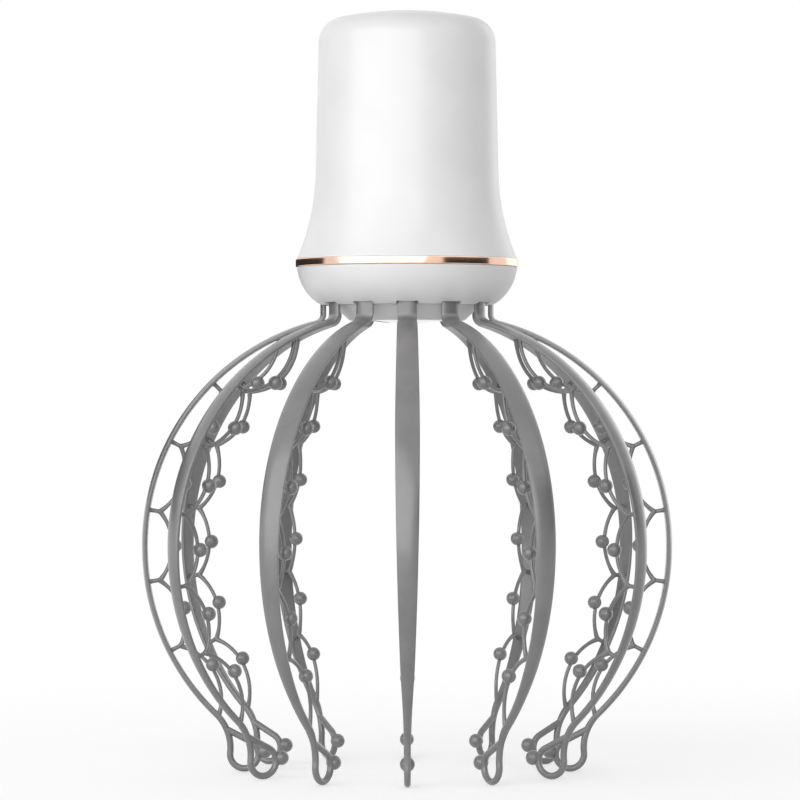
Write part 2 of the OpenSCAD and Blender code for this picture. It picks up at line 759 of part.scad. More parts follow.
module indicator_led() {
    color("white") translate([-0.8, board_y + board_t, lamp_z - 0.8]) cube([1.6, 0.9, 1.6]);
}

module indicator_lens() {
    y = board_y + board_t + 1.2;
    color("aliceblue") translate([0, y, lamp_z]) rotate([-90, 0, 0])
        cylinder(r = lamp_r, h = grip_out_r(lamp_z) - y - 0.15);
}

// ---- Button ----

module switch_board() {
    color("darkgreen") difference() {
        ring(switch_board_r, 0, switch_board_z, board_t);
        ring_of(3, switch_boss_r, 30) translate([0, 0, switch_board_z - 1])
            cylinder(r = screw_hole_r + fit_gap, h = 4);
    }
}

module switch_board_screws() {
    color("gray") ring_of(3, switch_boss_r, 30) translate([0, 0, switch_board_z])
        rotate([180, 0, 0]) screw(6);
}

switch_top = switch_board_z + board_t + switch_h;

module tact_switch() {
    color("dimgray") translate([0, 0, switch_board_z + board_t]) difference() {
        translate([-switch_w / 2, -switch_w / 2, 0]) cube([switch_w, switch_w, switch_h]);
        translate([0, 0, switch_h - 1.9]) cylinder(r = plunger_r + run_gap, h = 3);
    }
}

module switch_plunger() {
    color("black") translate([0, 0, switch_top - 0.9]) cylinder(r = plunger_r, h = 0.9 + plunger_h);
}

// Shallow dish for the finger, turned from an arc
module button_dish() {
    r = (pow(dish_r, 2) + pow(dish_d, 2)) / (2 * dish_d);
    a = asin(dish_r / r);
    rotate_extrude() polygon(concat(
        [for (k = [0 : 6]) [0, top_z - dish_d + r] + r * [sin(a * k / 6), -cos(a * k / 6)]],
        [[dish_r, top_z + 1], [0, top_z + 1]]));
}

module power_button() {
    color("lightgray") {
        difference() {
            intersection() {
                grip_solid(0.1);
                translate([0, 0, flange_z]) cylinder(r = button_r, h = 10);
            }
            button_dish();
        }
        translate([0, 0, flange_z]) cylinder(r = button_r + 1.3, h = flange_t);
        translate([0, 0, switch_top + plunger_h])
            cylinder(r = 2, h = flange_z - switch_top - plunger_h + 0.5);
    }
}

// ---- Claws ----

// A flat band along an arc: its centre, its radius, where its middle lies and half of its turn
module band(c, r, middle, half_turn, w) {
    reach = 2 * r;
    translate(c) intersection() {
        difference() {
            circle(r + w / 2);
            circle(r - w / 2);
        }
        polygon([[0, 0], reach * dir(middle - half_turn), reach * dir(middle),
                 reach * dir(middle + half_turn)]);
    }
}

// A ball turned about the claw's cross axis, with a cylindrical waist where the web meets it
module bead(p, bead_r) {
    waist_a = 20;
    upper = [for (a = [waist_a : 15 : 80]) bead_r * dir(a)];
    translate([p.x, 0, p.y]) rotate([90, 0, 0]) rotate_extrude() polygon(concat(
        [[0, upper[4].y]], [for (k = [4 : -1 : 0]) upper[k]],
        [for (q = upper) [q.x, -q.y]], [[0, -upper[4].y]]));
}

function strip_w(z) =
    z > widest_z
    ? belly_w - (belly_w - root_w) * pow((z - widest_z) / (seam_z - widest_z), 1.5)
    : belly_w - (belly_w - tail_w) * pow((widest_z - z) / (widest_z - tail.y), 1.8);

// The strip's width seen from outside, as a prism that trims it
module strip_taper() {
    n = 16;
    side = [for (k = [0 : n])
        let (z = tail.y - 4 + (seam_z - tail.y + 4) * k / n) [strip_w(max(z, tail.y)) / 2, z]];
    top = [root_w / 2, hinge_z + barrel_r + 1];
    rotate([90, 0, 90]) linear_extrude(belly_r + 5) polygon(concat(
        side, [top, [-top.x, top.y]],
        [for (k = [0 : n]) [-side[n - k].x, side[n - k].y]]));
}

module claw_strip() {
    lap_a = 1;  // the elbow laps a little into the long arc
    intersection() {
        rotate([90, 0, 0]) linear_extrude(belly_w + 1, center = true) {
            // Long arc from the elbow to the tail
            band(arc_c, arc_r, 90 - (neck_a + tail_a) / 2, (tail_a - neck_a) / 2, strip_t);
            // Elbow, bent the other way
            band(elbow_c, elbow_r, 225 - (neck_a - lap_a) / 2, 45 - (neck_a - lap_a) / 2, strip_t);
            // Neck up into the body
            translate([root_r - strip_t / 2, elbow_c.y]) square([strip_t, hinge_z - elbow_c.y]);
        }
        strip_taper();
    }
    translate([root_r, 0, hinge_z]) rotate([90, 0, 0])
        cylinder(r = barrel_r, h = root_w + 2 * barrel_lug, center = true);
}

// Scallops, struts and forks make one flat web, and the balls sit in it
module claw_lace() {
    rotate([90, 0, 0]) linear_extrude(lace_t, center = true) {
        for (i = [0 : ball_n - 1])
            band(round_arc(scallop_c_r, ball_a(i)), scallop_r, 270 - ball_a(i),
                 scallop_half(i > 0 && i < ball_n - 1 ? fork_place_r : arc_r), lace_w);
        for (i = [0 : ball_n - 2]) {
            a = ball_a(i) + lace_pitch / 2;
            translate(arc_c) rotate(-a) translate([-strut_w / 2, fork_place_r])
                square([strut_w, fork_gap]);
            translate(round_arc(fork_place_r, a)) circle(fork_r);
        }
    }
    for (i = [0 : ball_n - 1]) bead(round_arc(arc_r - ball_gap, ball_a(i)), ball_r);
}

module claw_tip() {
    rotate([90, 0, 0]) linear_extrude(2 * tip_wire_r, center = true) {
        translate(tip_c) difference() {
            circle(tip_loop_r + tip_wire_r);
            circle(tip_loop_r - tip_wire_r);
        }
        // The leg starts a little inside the strip
        band(leg_c, leg_r, bearing(leg_c, tail) + leg_turn / 2 - 2 * sign(leg_turn),
             abs(leg_turn) / 2 + 2, 2 * tip_wire_r);
        translate(inner_leg) rotate(bearing(inner_leg, join)) translate([0, -tip_wire_r])
            square([norm(join - inner_leg), 2 * tip_wire_r]);
    }
    bead(tip_c + (tip_loop_r + tip_ball_r - 0.4) * dir(172), tip_ball_r);
}

module claw(k) {
    color("gray") rotate([0, 0, -90 + 360 * (k - 1) / claw_n]) {
        claw_strip();
        claw_lace();
        claw_tip();
    }
}

upper_housing();
trim_ring();
lower_housing();
base_cap();
contact_plate();
plate_nut();
claw_clamp_ring();
clamp_screws();
base_screws();
inner_frame();
frame_screws();
motor_can();
motor_end_cap();
motor_magnets();
motor_armature();
motor_bush();
motor_sleeve();
motor_shaft();
eccentric_weight();
battery_cell();
battery_contacts();
control_board();
board_parts();
board_screws();
charging_socket();
indicator_led();
indicator_lens();
switch_board();
switch_board_screws();
tact_switch();
switch_plunger();
power_button();
for (k = [1 : claw_n]) claw(k);
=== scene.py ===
import json
import math

import bmesh
import bpy
from mathutils import Matrix, Vector


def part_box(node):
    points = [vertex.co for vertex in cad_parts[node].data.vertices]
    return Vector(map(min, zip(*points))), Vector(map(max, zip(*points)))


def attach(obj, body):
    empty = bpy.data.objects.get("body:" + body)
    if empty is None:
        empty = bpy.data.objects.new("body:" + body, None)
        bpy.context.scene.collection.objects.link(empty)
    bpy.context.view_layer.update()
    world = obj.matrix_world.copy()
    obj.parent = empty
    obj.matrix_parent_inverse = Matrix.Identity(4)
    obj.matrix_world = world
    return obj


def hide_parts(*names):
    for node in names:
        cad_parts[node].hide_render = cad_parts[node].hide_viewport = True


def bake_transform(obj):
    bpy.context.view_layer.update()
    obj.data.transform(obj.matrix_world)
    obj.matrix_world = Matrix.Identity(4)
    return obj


print("massager: loading the frame")
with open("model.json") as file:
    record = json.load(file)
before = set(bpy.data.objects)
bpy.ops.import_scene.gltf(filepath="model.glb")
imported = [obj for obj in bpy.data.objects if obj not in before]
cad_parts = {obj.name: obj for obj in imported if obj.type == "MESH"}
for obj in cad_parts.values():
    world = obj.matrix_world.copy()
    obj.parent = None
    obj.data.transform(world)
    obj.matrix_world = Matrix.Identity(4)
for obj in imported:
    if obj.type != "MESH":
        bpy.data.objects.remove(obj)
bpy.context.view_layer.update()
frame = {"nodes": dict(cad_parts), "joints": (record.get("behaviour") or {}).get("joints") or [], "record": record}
mm = 0.001
joints = {joint["name"]: joint for joint in frame["joints"]}
clawCount = 12
making = {
    "weld": 1e-7, "clean": 5e-6,  # metres within which points are joined
    "sharp": 35, "clawSharp": 40,  # degrees from which an edge is shaded sharp
}


def lowOf(node):
    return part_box(node)[0] / mm


def highOf(node):
    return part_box(node)[1] / mm


# Heights in mm that the other pieces are built from
seamZ = lowOf("lower_housing").z
ringLowZ = lowOf("trim_ring").z
ringHighZ = highOf("trim_ring").z
baseZ = lowOf("base_cap").z
clawRoot = Vector(joints["claw_04_swing"]["pos_m"]) / mm  # this claw points along +X, at y = 0

# Outlines are drawn in the plane (r, z), in mm
inward = Vector((-1, 0))
upward = Vector((0, 1))


def along(angle):
    return Vector((math.cos(math.radians(angle)), math.sin(math.radians(angle))))


def bearing(start, end):
    return math.degrees(math.atan2(end.y - start.y, end.x - start.x))


def easing(t):
    t = min(1.0, max(0.0, t))
    return t * t * (3 - 2 * t)


def arcPoints(centre, radius, start, end, step):
    count = max(2, math.ceil(abs(end - start) / step) + 1)
    return [centre + radius * along(start + (end - start) * k / (count - 1)) for k in range(count)]


def softBend(first, corner, last, t):  # a point on the curve that rounds a corner
    return first * (1 - t) ** 2 + corner * 2 * t * (1 - t) + last * t * t


def softCorners(corners, steps=6, most=0.48):  # corners are (r, z, rounding)
    points = []
    for k, (r, z, rounding) in enumerate(corners):
        here = Vector((r, z))
        if rounding <= 0:
            points.append(here)
            continue
        before = Vector(corners[k - 1][:2]) - here
        after = Vector(corners[(k + 1) % len(corners)][:2]) - here
        half = before.angle(after) / 2
        reach = min(rounding / math.tan(half), before.length * most, after.length * most)
        first, last = here + before.normalized() * reach, here + after.normalized() * reach
        points += [softBend(first, here, last, j / steps) for j in range(steps + 1)]
    return points


def roundedEnd(corner, neighbour, outward, size, steps=5):  # rounds the end of a row of points
    first = corner + (neighbour - corner).normalized() * size
    last = corner + outward * size
    return [softBend(first, corner, last, k / steps) for k in range(steps + 1)]


def bandOutline(inner, outer, low, high):
    return [Vector((inner, low)), Vector((outer, low)),
            Vector((outer, high)), Vector((inner, high))]


def newObject(name, data):
    thing = bpy.data.objects.new(name, data)
    bpy.context.scene.collection.objects.link(thing)
    return thing


def smoothPiece(piece, angle=making["sharp"]):
    for face in piece.data.polygons:
        face.use_smooth = True
    piece.data.set_sharp_from_angle(angle=math.radians(angle))


def meshObject(name, vertices, faces):
    mesh = bpy.data.meshes.new(name)
    mesh.from_pydata([Vector(v) * mm for v in vertices], [], faces)
    work = bmesh.new()
    work.from_mesh(mesh)
    bmesh.ops.remove_doubles(work, verts=work.verts, dist=making["weld"])
    bmesh.ops.recalc_face_normals(work, faces=work.faces)
    work.to_mesh(mesh)
    work.free()
    piece = newObject(name, mesh)
    smoothPiece(piece)
    return piece


def loft(name, rings, closed=False):  # skins a row of rings of equal length
    size = len(rings[0])
    vertices = [point for ring in rings for point in ring]
    faces = []
    rows = len(rings) if closed else len(rings) - 1
    for i in range(rows):
        a, b = i * size, ((i + 1) % len(rings)) * size
        for j in range(size):
            k = (j + 1) % size
            faces.append((a + j, a + k, b + k, b + j))
    if not closed:
        faces.append(tuple(range(size))[::-1])
        faces.append(tuple(range((len(rings) - 1) * size, len(rings) * size)))
    return meshObject(name, vertices, faces)


def lathe(name, outline, segments):  # turns a closed outline about the Z axis
    rings = []
    for k in range(segments):
        turn = along(360 * k / segments)
        rings.append([(p.x * turn.x, p.x * turn.y, p.y) for p in outline])
    return loft(name, rings, closed=True)


def applyModifiers(piece):
    evaluated = piece.evaluated_get(bpy.context.evaluated_depsgraph_get())
    mesh = bpy.data.meshes.new_from_object(evaluated)
    piece.modifiers.clear()
    old = piece.data
    piece.data = mesh
    bpy.data.meshes.remove(old)


def combine(piece, tool, operation):
    modifier = piece.modifiers.new(operation, "BOOLEAN")
    modifier.operation = operation
    modifier.solver = "MANIFOLD"
    modifier.object = tool
    applyModifiers(piece)
    mesh = tool.data
    bpy.data.objects.remove(tool)
    bpy.data.meshes.remove(mesh)


def cleanPiece(piece):  # joins the points that cuts leave a few micrometres apart
    work = bmesh.new()
    work.from_mesh(piece.data)
    bmesh.ops.remove_doubles(work, verts=work.verts, dist=making["clean"])
    bmesh.ops.dissolve_degenerate(work, edges=work.edges, dist=making["clean"])
    work.to_mesh(piece.data)
    work.free()


def seat(piece, body, slot, *nodes):  # hangs a piece on its body, in place of CAD nodes
    piece.data.materials.clear()
    piece.data.materials.append(finishes[slot])
    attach(piece, body)
    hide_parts(*nodes)


def newFinish(name, color, metallic=0.0, roughness=0.4, coat=0.0, coatRoughness=0.1):
    material = bpy.data.materials.new(name)
    material.use_nodes = True
    tree = material.node_tree
    shader = tree.nodes["Principled BSDF"]
    shader.inputs["Base Color"].default_value = (*color, 1)
    shader.inputs["Metallic"].default_value = metallic
    shader.inputs["Roughness"].default_value = roughness
    shader.inputs["Coat Weight"].default_value = coat
    shader.inputs["Coat Roughness"].default_value = coatRoughness
    place = tree.nodes.new("ShaderNodeTexCoord").outputs["Object"]
    return material, tree, shader, place


def noise(tree, place, scale, detail):
    node = tree.nodes.new("ShaderNodeTexNoise")
    node.inputs["Scale"].default_value = scale
    node.inputs["Detail"].default_value = detail
    tree.links.new(place, node.inputs["Vector"])
    return node.outputs["Fac"]


def ranged(tree, value, low, high, start=0.3, end=0.7):
    node = tree.nodes.new("ShaderNodeMapRange")
    node.inputs["From Min"].default_value = start
    node.inputs["From Max"].default_value = end
    node.inputs["To Min"].default_value = low
    node.inputs["To Max"].default_value = high
    tree.links.new(value, node.inputs["Value"])
    return node.outputs["Result"]


def blendColors(tree, shader, value, dark, light, start=0.35, end=0.65):
    ramp = tree.nodes.new("ShaderNodeValToRGB")
    ramp.color_ramp.elements[0].position = start
    ramp.color_ramp.elements[0].color = (*dark, 1)
    ramp.color_ramp.elements[1].position = end
    ramp.color_ramp.elements[1].color = (*light, 1)
    tree.links.new(value, ramp.inputs["Fac"])
    tree.links.new(ramp.outputs["Color"], shader.inputs["Base Color"])


def bump(tree, shader, height, depth, strength, after=None):
    node = tree.nodes.new("ShaderNodeBump")
    node.inputs["Strength"].default_value = strength
    node.inputs["Distance"].default_value = depth
    tree.links.new(height, node.inputs["Height"])
    if after:
        tree.links.new(after, node.inputs["Normal"])
    tree.links.new(node.outputs["Normal"], shader.inputs["Normal"])
    return node.outputs["Normal"]


def roughen(tree, shader, value, span):
    tree.links.new(ranged(tree, value, *span), shader.inputs["Roughness"])


def grainBump(tree, shader, place, grain, after=None):  # grain as in the bumps below
    scale, detail, depth, strength = grain
    return bump(tree, shader, noise(tree, place, scale, detail), depth, strength, after=after)


def aroundAxis(tree, place, radius, stretch):  # coordinates that run round the Z axis
    split = tree.nodes.new("ShaderNodeSeparateXYZ")
    tree.links.new(place, split.inputs["Vector"])
    turn = tree.nodes.new("ShaderNodeMath")
    turn.operation = "ARCTAN2"
    tree.links.new(split.outputs["Y"], turn.inputs[0])
    tree.links.new(split.outputs["X"], turn.inputs[1])
    join = tree.nodes.new("ShaderNodeCombineXYZ")
    tree.links.new(turn.outputs["Value"], join.inputs["X"])
    tree.links.new(split.outputs["Z"], join.inputs["Y"])
    scale = tree.nodes.new("ShaderNodeVectorMath")
    scale.operation = "MULTIPLY"
    scale.inputs[1].default_value = (radius, stretch, 1)
    tree.links.new(join.outputs["Vector"], scale.inputs[0])
    return scale.outputs["Vector"]


# Patches are the scale and detail of a noise, bumps are scale, detail, depth and strength
moulded = {
    "glossWhitePlastic": {
        "color": (0.84, 0.84, 0.845), "dark": (0.82, 0.82, 0.827), "light": (0.86, 0.86, 0.862),
        "patches": (45, 2), "roughness": 0.34, "roughPatches": (60, 4), "roughRange": (0.31, 0.38),
        "specular": 0.5, "coat": 0.35, "coatRoughness": 0.24,
        "bumps": ((170, 1, 0.00003, 0.35), (2600, 3, 0.000004, 0.25)),  # mould ripple and grain
    },
    "satinWhitePlastic": {
        "color": (0.83, 0.83, 0.835), "dark": (0.815, 0.815, 0.822), "light": (0.845, 0.845, 0.847),
        "patches": (70, 2), "roughness": 0.4, "roughPatches": (90, 1), "roughRange": (0.38, 0.43),
        "specular": 0.5, "coat": 0.0, "coatRoughness": 0.1,
        "bumps": ((1500, 2, 0.00001, 0.4),),
    },
    "paleGreyPlastic": {
        "color": (0.72, 0.72, 0.73), "dark": (0.7, 0.7, 0.71), "light": (0.74, 0.74, 0.75),
        "patches": (90, 2), "roughness": 0.46, "roughPatches": (90, 1), "roughRange": (0.43, 0.5),
        "specular": 0.5, "coat": 0.0, "coatRoughness": 0.1,
        "bumps": ((1500, 2, 0.00001, 0.4),),
    },
    "springGreyPlastic": {
        "color": (0.192, 0.188, 0.192),
        "dark": (0.178, 0.174, 0.178), "light": (0.206, 0.202, 0.206),
        "patches": (110, 3), "roughness": 0.32, "roughPatches": (80, 1), "roughRange": (0.27, 0.33),
        "specular": 0.6, "coat": 0.6, "coatRoughness": 0.2,
        "bumps": ((120, 1, 0.00004, 0.3),),  # faint flow marks of the mould
    },
}


def mouldedFinish(name):
    look = moulded[name]
    material, tree, shader, place = newFinish(
        name, look["color"], roughness=look["roughness"], coat=look["coat"],
        coatRoughness=look["coatRoughness"])
    shader.inputs["Specular IOR Level"].default_value = look["specular"]
    blendColors(tree, shader, noise(tree, place, *look["patches"]), look["dark"], look["light"])
    roughen(tree, shader, noise(tree, place, *look["roughPatches"]), look["roughRange"])
    normal = None
    for grain in look["bumps"]:
        normal = grainBump(tree, shader, place, grain, after=normal)
    return material


plating = {
    "color": (0.88, 0.6, 0.46), "dark": (0.86, 0.58, 0.44), "light": (0.9, 0.62, 0.48),
    "patches": (120, 2), "roughness": 0.14, "roughRange": (0.12, 0.17),
    "lines": (1.0, 3), "lineRadius": 6.0, "lineStretch": 9000.0,
    "lineDepth": 0.000004, "lineStrength": 0.3,
}


def roseGoldFinish():
    material, tree, shader, place = newFinish("roseGoldPlating", plating["color"], metallic=1.0,
                                              roughness=plating["roughness"])
    turned = aroundAxis(tree, place, plating["lineRadius"], plating["lineStretch"])
    lines = noise(tree, turned, *plating["lines"])  # fine lines turned round the ring
    roughen(tree, shader, lines, plating["roughRange"])
    blendColors(tree, shader, noise(tree, place, *plating["patches"]),
                plating["dark"], plating["light"])
    bump(tree, shader, lines, plating["lineDepth"], plating["lineStrength"])
    return material


polish = {
    "color": (0.8, 0.8, 0.81), "dark": (0.77, 0.77, 0.78), "light": (0.83, 0.83, 0.84),
    "patches": (300, 2), "roughness": 0.1, "roughPatches": (700, 4), "roughRange": (0.07, 0.16),
    "ringScale": 900, "ringWander": 1.5, "ringDepth": 0.0000015, "ringStrength": 0.3,
}


def polishedSteelFinish():
    material, tree, shader, place = newFinish("polishedSteel", polish["color"], metallic=1.0,
                                              roughness=polish["roughness"])
    rings = tree.nodes.new("ShaderNodeTexWave")
    rings.wave_type = "RINGS"
    rings.rings_direction = "Z"
    rings.inputs["Scale"].default_value = polish["ringScale"]
    rings.inputs["Distortion"].default_value = polish["ringWander"]
    tree.links.new(place, rings.inputs["Vector"])
    roughen(tree, shader, noise(tree, place, *polish["roughPatches"]), polish["roughRange"])
    blendColors(tree, shader, noise(tree, place, *polish["patches"]),
                polish["dark"], polish["light"])
    bump(tree, shader, rings.outputs["Fac"], polish["ringDepth"], polish["ringStrength"])
    return material


grains = {
    "metal": {"metallic": 1.0, "patches": (400, 4), "roughPatches": (900, 4),
              "roughShare": (0.8, 1.3), "bump": (4200, 2, 0.000004, 0.4)},
    "plastic": {"metallic": 0.0, "patches": (350, 3), "roughPatches": (800, 3),
                "roughShare": (0.9, 1.1), "bump": (3000, 2, 0.00001, 0.5)},
}


def innerFinish(kind, name, dark, light, roughness):
    grain = grains[kind]
    material, tree, shader, place = newFinish(name, light, metallic=grain["metallic"],
                                              roughness=roughness)
    blendColors(tree, shader, noise(tree, place, *grain["patches"]), dark, light)
    span = [roughness * share for share in grain["roughShare"]]
    roughen(tree, shader, noise(tree, place, *grain["roughPatches"]), span)
    grainBump(tree, shader, place, grain["bump"])
    return material


boardLook = {
    "color": (0.02, 0.16, 0.07), "roughness": 0.35, "coat": 0.3,
    "mask": (0.015, 0.12, 0.05), "maskLight": (0.02, 0.15, 0.065), "track": (0.06, 0.3, 0.12),
    "trackScale": 260, "trackWidth": 0.08, "depth": 0.00003, "strength": 0.4,
}


def boardFinish():
    material, tree, shader, place = newFinish(
        "boardGreen", boardLook["color"], roughness=boardLook["roughness"], coat=boardLook["coat"])
    tracks = tree.nodes.new("ShaderNodeTexBrick")  # copper tracks under the green mask
    tracks.inputs["Scale"].default_value = boardLook["trackScale"]
    tracks.inputs["Mortar Size"].default_value = boardLook["trackWidth"]
    tracks.inputs["Color1"].default_value = (*boardLook["mask"], 1)
    tracks.inputs["Color2"].default_value = (*boardLook["maskLight"], 1)
    tracks.inputs["Mortar"].default_value = (*boardLook["track"], 1)
    tree.links.new(place, tracks.inputs["Vector"])
    tree.links.new(tracks.outputs["Color"], shader.inputs["Base Color"])
    bump(tree, shader, tracks.outputs["Fac"], boardLook["depth"], boardLook["strength"])
    return material


clearLook = {
    "color": (0.92, 0.95, 0.97), "roughness": 0.25, "transmission": 0.6, "ior": 1.49,
    "roughPatches": (1500, 2), "roughRange": (0.2, 0.32), "bump": (4000, 2, 0.00001, 0.4),
}


def clearFinish():
    material, tree, shader, place = newFinish("clearLens", clearLook["color"],
                                              roughness=clearLook["roughness"])
    shader.inputs["Transmission Weight"].default_value = clearLook["transmission"]
    shader.inputs["IOR"].default_value = clearLook["ior"]
    roughen(tree, shader, noise(tree, place, *clearLook["roughPatches"]), clearLook["roughRange"])
    grainBump(tree, shader, place, clearLook["bump"])
    return material


print("massager: finishes")
innerLooks = {  # kind, name, dark and light colour, roughness
    "screw_steel": ("metal", "screwSteel", (0.5, 0.5, 0.52), (0.62, 0.62, 0.64), 0.32),
    "motor_steel": ("metal", "motorSteel", (0.56, 0.56, 0.58), (0.7, 0.7, 0.72), 0.28),
    "contact_steel": ("metal", "contactSteel", (0.66, 0.66, 0.67), (0.76, 0.76, 0.77), 0.25),
    "winding_copper": ("metal", "windingCopper", (0.5, 0.2, 0.08), (0.66, 0.3, 0.14), 0.35),
    "magnet_dark": ("metal", "magnetDark", (0.07, 0.07, 0.075), (0.1, 0.1, 0.105), 0.5),
    "bush_brass": ("metal", "bushBrass", (0.66, 0.48, 0.22), (0.78, 0.6, 0.3), 0.3),
    "inner_grey": ("plastic", "innerGreyPlastic", (0.05, 0.05, 0.053), (0.07, 0.07, 0.073), 0.5),
    "sleeve_rubber": ("plastic", "sleeveRubber", (0.015, 0.015, 0.015), (0.025, 0.025, 0.026), 0.8),
    "cell_blue": ("plastic", "cellWrap", (0.02, 0.09, 0.34), (0.03, 0.12, 0.42), 0.3),
    "chip_black": ("plastic", "chipBlack", (0.012, 0.012, 0.013), (0.022, 0.022, 0.023), 0.45),
    "led_white": ("plastic", "lampYellow", (0.75, 0.68, 0.35), (0.85, 0.8, 0.5), 0.35),
    "button_grey": ("plastic", "buttonPlastic", (0.6, 0.6, 0.607), (0.64, 0.64, 0.645), 0.3),
}
finishes = {
    "white_gloss": mouldedFinish("glossWhitePlastic"),
    "white_satin": mouldedFinish("satinWhitePlastic"),
    "pale_grey": mouldedFinish("paleGreyPlastic"),
    "claw_grey": mouldedFinish("springGreyPlastic"),
    "rose_gold": roseGoldFinish(),
    "polished_steel": polishedSteelFinish(),
    "board_green": boardFinish(),
    "lens_clear": clearFinish(),
}
for slotName, look in innerLooks.items():
    finishes[slotName] = innerFinish(*look)


print("massager: upper housing")
grip = {
    "radius": 30.0, "height": 84.0, "draft": 1.3, "shoulder": 8.5, "crown": 115.0,
    "flare": 80.0, "flareTurn": 21.7, "wall": 2.2, "edge": 0.35,
    "buttonHole": 7.25, "buttonEdge": 0.5, "step": 2.0, "insideStep": 4.0, "segments": 200,
}
port = {
    "width": 9.44, "height": 3.76, "rounding": 0.45, "lensHole": 1.56, "lensRounding": 0.25,
    "roundingTurns": (20, 40, 60, 75),
    "inside": 14, "outside": 2.5, "flare": 1.6,  # how far the cutting tool reaches and opens
}
draft = math.radians(grip["draft"])
topZ = ringHighZ + grip["height"]
crownTurn = math.degrees(math.asin((grip["radius"] - grip["shoulder"] * math.cos(draft))
                                   / (grip["crown"] - grip["shoulder"])))
crownCentre = Vector((0, topZ - grip["crown"]))
shoulderCentre = crownCentre + (grip["crown"] - grip["shoulder"]) * along(90 - crownTurn)
shoulderEnd = shoulderCentre + grip["shoulder"] * along(grip["draft"])
flareSpan = math.sin(math.radians(grip["flareTurn"] + grip["draft"])) - math.sin(draft)
flareTopZ = ringHighZ + grip["flare"] * flareSpan
flareTopR = shoulderEnd.x + (shoulderEnd.y - flareTopZ) * math.tan(draft)
flareCentre = Vector((flareTopR, flareTopZ)) + grip["flare"] * along(grip["draft"])
portZ = (lowOf("charging_socket").z + highOf("charging_socket").z) / 2
lampZ = (lowOf("indicator_lens").z + highOf("indicator_lens").z) / 2


def gripOutline(inset, step):  # from the crown down to the rim
    crownR, shoulderR = grip["crown"] - inset, grip["shoulder"] - inset
    flareR = grip["flare"] + inset
    holeAngle = 90 - math.degrees(math.asin(grip["buttonHole"] / crownR))
    points = arcPoints(crownCentre, crownR, holeAngle, 90 - crownTurn, step / 2)
    points += arcPoints(shoulderCentre, shoulderR, 90 - crownTurn, grip["draft"], step)[1:]
    flareStart = 180 + grip["draft"]
    points += arcPoints(flareCentre, flareR, flareStart, flareStart + grip["flareTurn"], step / 2)
    return points


def gripRadius(z):  # outer radius of the grip at a height between the rim and the shoulder
    if z < flareTopZ:
        return flareCentre.x - math.sqrt(grip["flare"] ** 2 - (z - flareCentre.y) ** 2)
    return flareTopR - (z - flareTopZ) * math.tan(draft)


def gripWallCut(name, halfWidth, halfHeight, z, rounding, count=48):  # for a hole in the rear wall
    profile = [(0, port["inside"]), (0, rounding)]
    for angle in port["roundingTurns"]:
        profile.append((rounding * (1 - math.cos(math.radians(angle))),
                        rounding * (1 - math.sin(math.radians(angle)))))
    profile.append((rounding * port["flare"], -port["outside"]))
    corner = min(halfWidth, halfHeight)
    rings = []
    for offset, depth in profile:
        ring = []
        for k in range(count):
            turn = along(360 * (k + 0.5) / count)
            x = math.copysign(halfWidth - corner, turn.x) + (corner + offset) * turn.x
            h = math.copysign(halfHeight - corner, turn.y) + (corner + offset) * turn.y
            y = math.sqrt(gripRadius(z + h) ** 2 - x * x) - depth
            ring.append((x, y, z + h))
        rings.append(ring)
    return loft(name, rings)


def buildUpperHousing():
    outer = gripOutline(0, grip["step"])
    inner = gripOutline(grip["wall"], grip["insideStep"])
    mouth = roundedEnd(outer[0], outer[1], -upward, grip["buttonEdge"])
    rim = roundedEnd(outer[-1], outer[-2], inward, grip["edge"])
    outer = [p for p in outer if (p - outer[0]).length > grip["buttonEdge"]
             and (p - outer[-1]).length > grip["edge"]]
    shell = lathe("gripShell", mouth[::-1] + outer + rim + inner[::-1], grip["segments"])
    combine(shell, gripWallCut("portCut", port["width"] / 2, port["height"] / 2, portZ,
                               port["rounding"]), "DIFFERENCE")
    combine(shell, gripWallCut("lampCut", port["lensHole"], port["lensHole"], lampZ,
                               port["lensRounding"]), "DIFFERENCE")
    smoothPiece(shell)
    seat(shell, "housing", "white_gloss", "upper_housing")


buildUpperHousing()


print("massager: ring, bowl and base")
trim = {"lip": 0.4, "edge": 0.35, "inner": 34.95, "segments": 240}
bowl = {
    "startTurn": 95.0, "endTurn": 151.0, "overrun": 10, "step": 1.5, "segments": 240,
    "lipEdge": 0.5,
    "rimIn": 0.25, "rimDown": 0.15, "arcDown": 0.2,  # the edge under the ring
    "bore": 13.0, "floor": 2.0, "seatR": 25.4, "wallR": 29.45, "cavityR": 34.0, "cavityZ": 8.7,
}
clawSlot = {"halfDepth": 1.75, "halfWidth": 3.65, "corner": 0.5, "cornerSteps": 4,
            "below": 1, "top": 6.0}
clawFoot = {"radius": 2.2, "length": 8.4, "edge": 0.3, "gap": 0.05}
clampScrews = {"count": 6, "turn": 15, "away": clawRoot.x - 1.2, "hole": 1.0,
               "depth": 2.2, "above": 5}
baseScrews = {"count": 3, "turn": 30, "away": 18.9, "hole": 1.15, "pilot": 1.0, "boss": 2.3,
              "depth": 3.7, "above": 4, "below": 1}
rimR = gripRadius(ringHighZ)
bowlStart, bowlEnd = math.radians(bowl["startTurn"]), math.radians(bowl["endTurn"])
bowlArcR = (ringLowZ - seamZ) / (math.cos(bowlStart) - math.cos(bowlEnd))
bowlCentre = Vector((rimR - bowlArcR * math.sin(bowlStart),
                     ringLowZ - bowlArcR * math.cos(bowlStart)))


def buildTrimRing():
    high = rimR + trim["lip"]
    outline = softCorners([(trim["inner"], ringLowZ, 0), (high, ringLowZ, trim["edge"]),
                           (high, ringHighZ, trim["edge"]), (trim["inner"], ringHighZ, 0)])
    ring = lathe("trimBand", outline, trim["segments"])
    seat(ring, "housing", "rose_gold", "trim_ring")


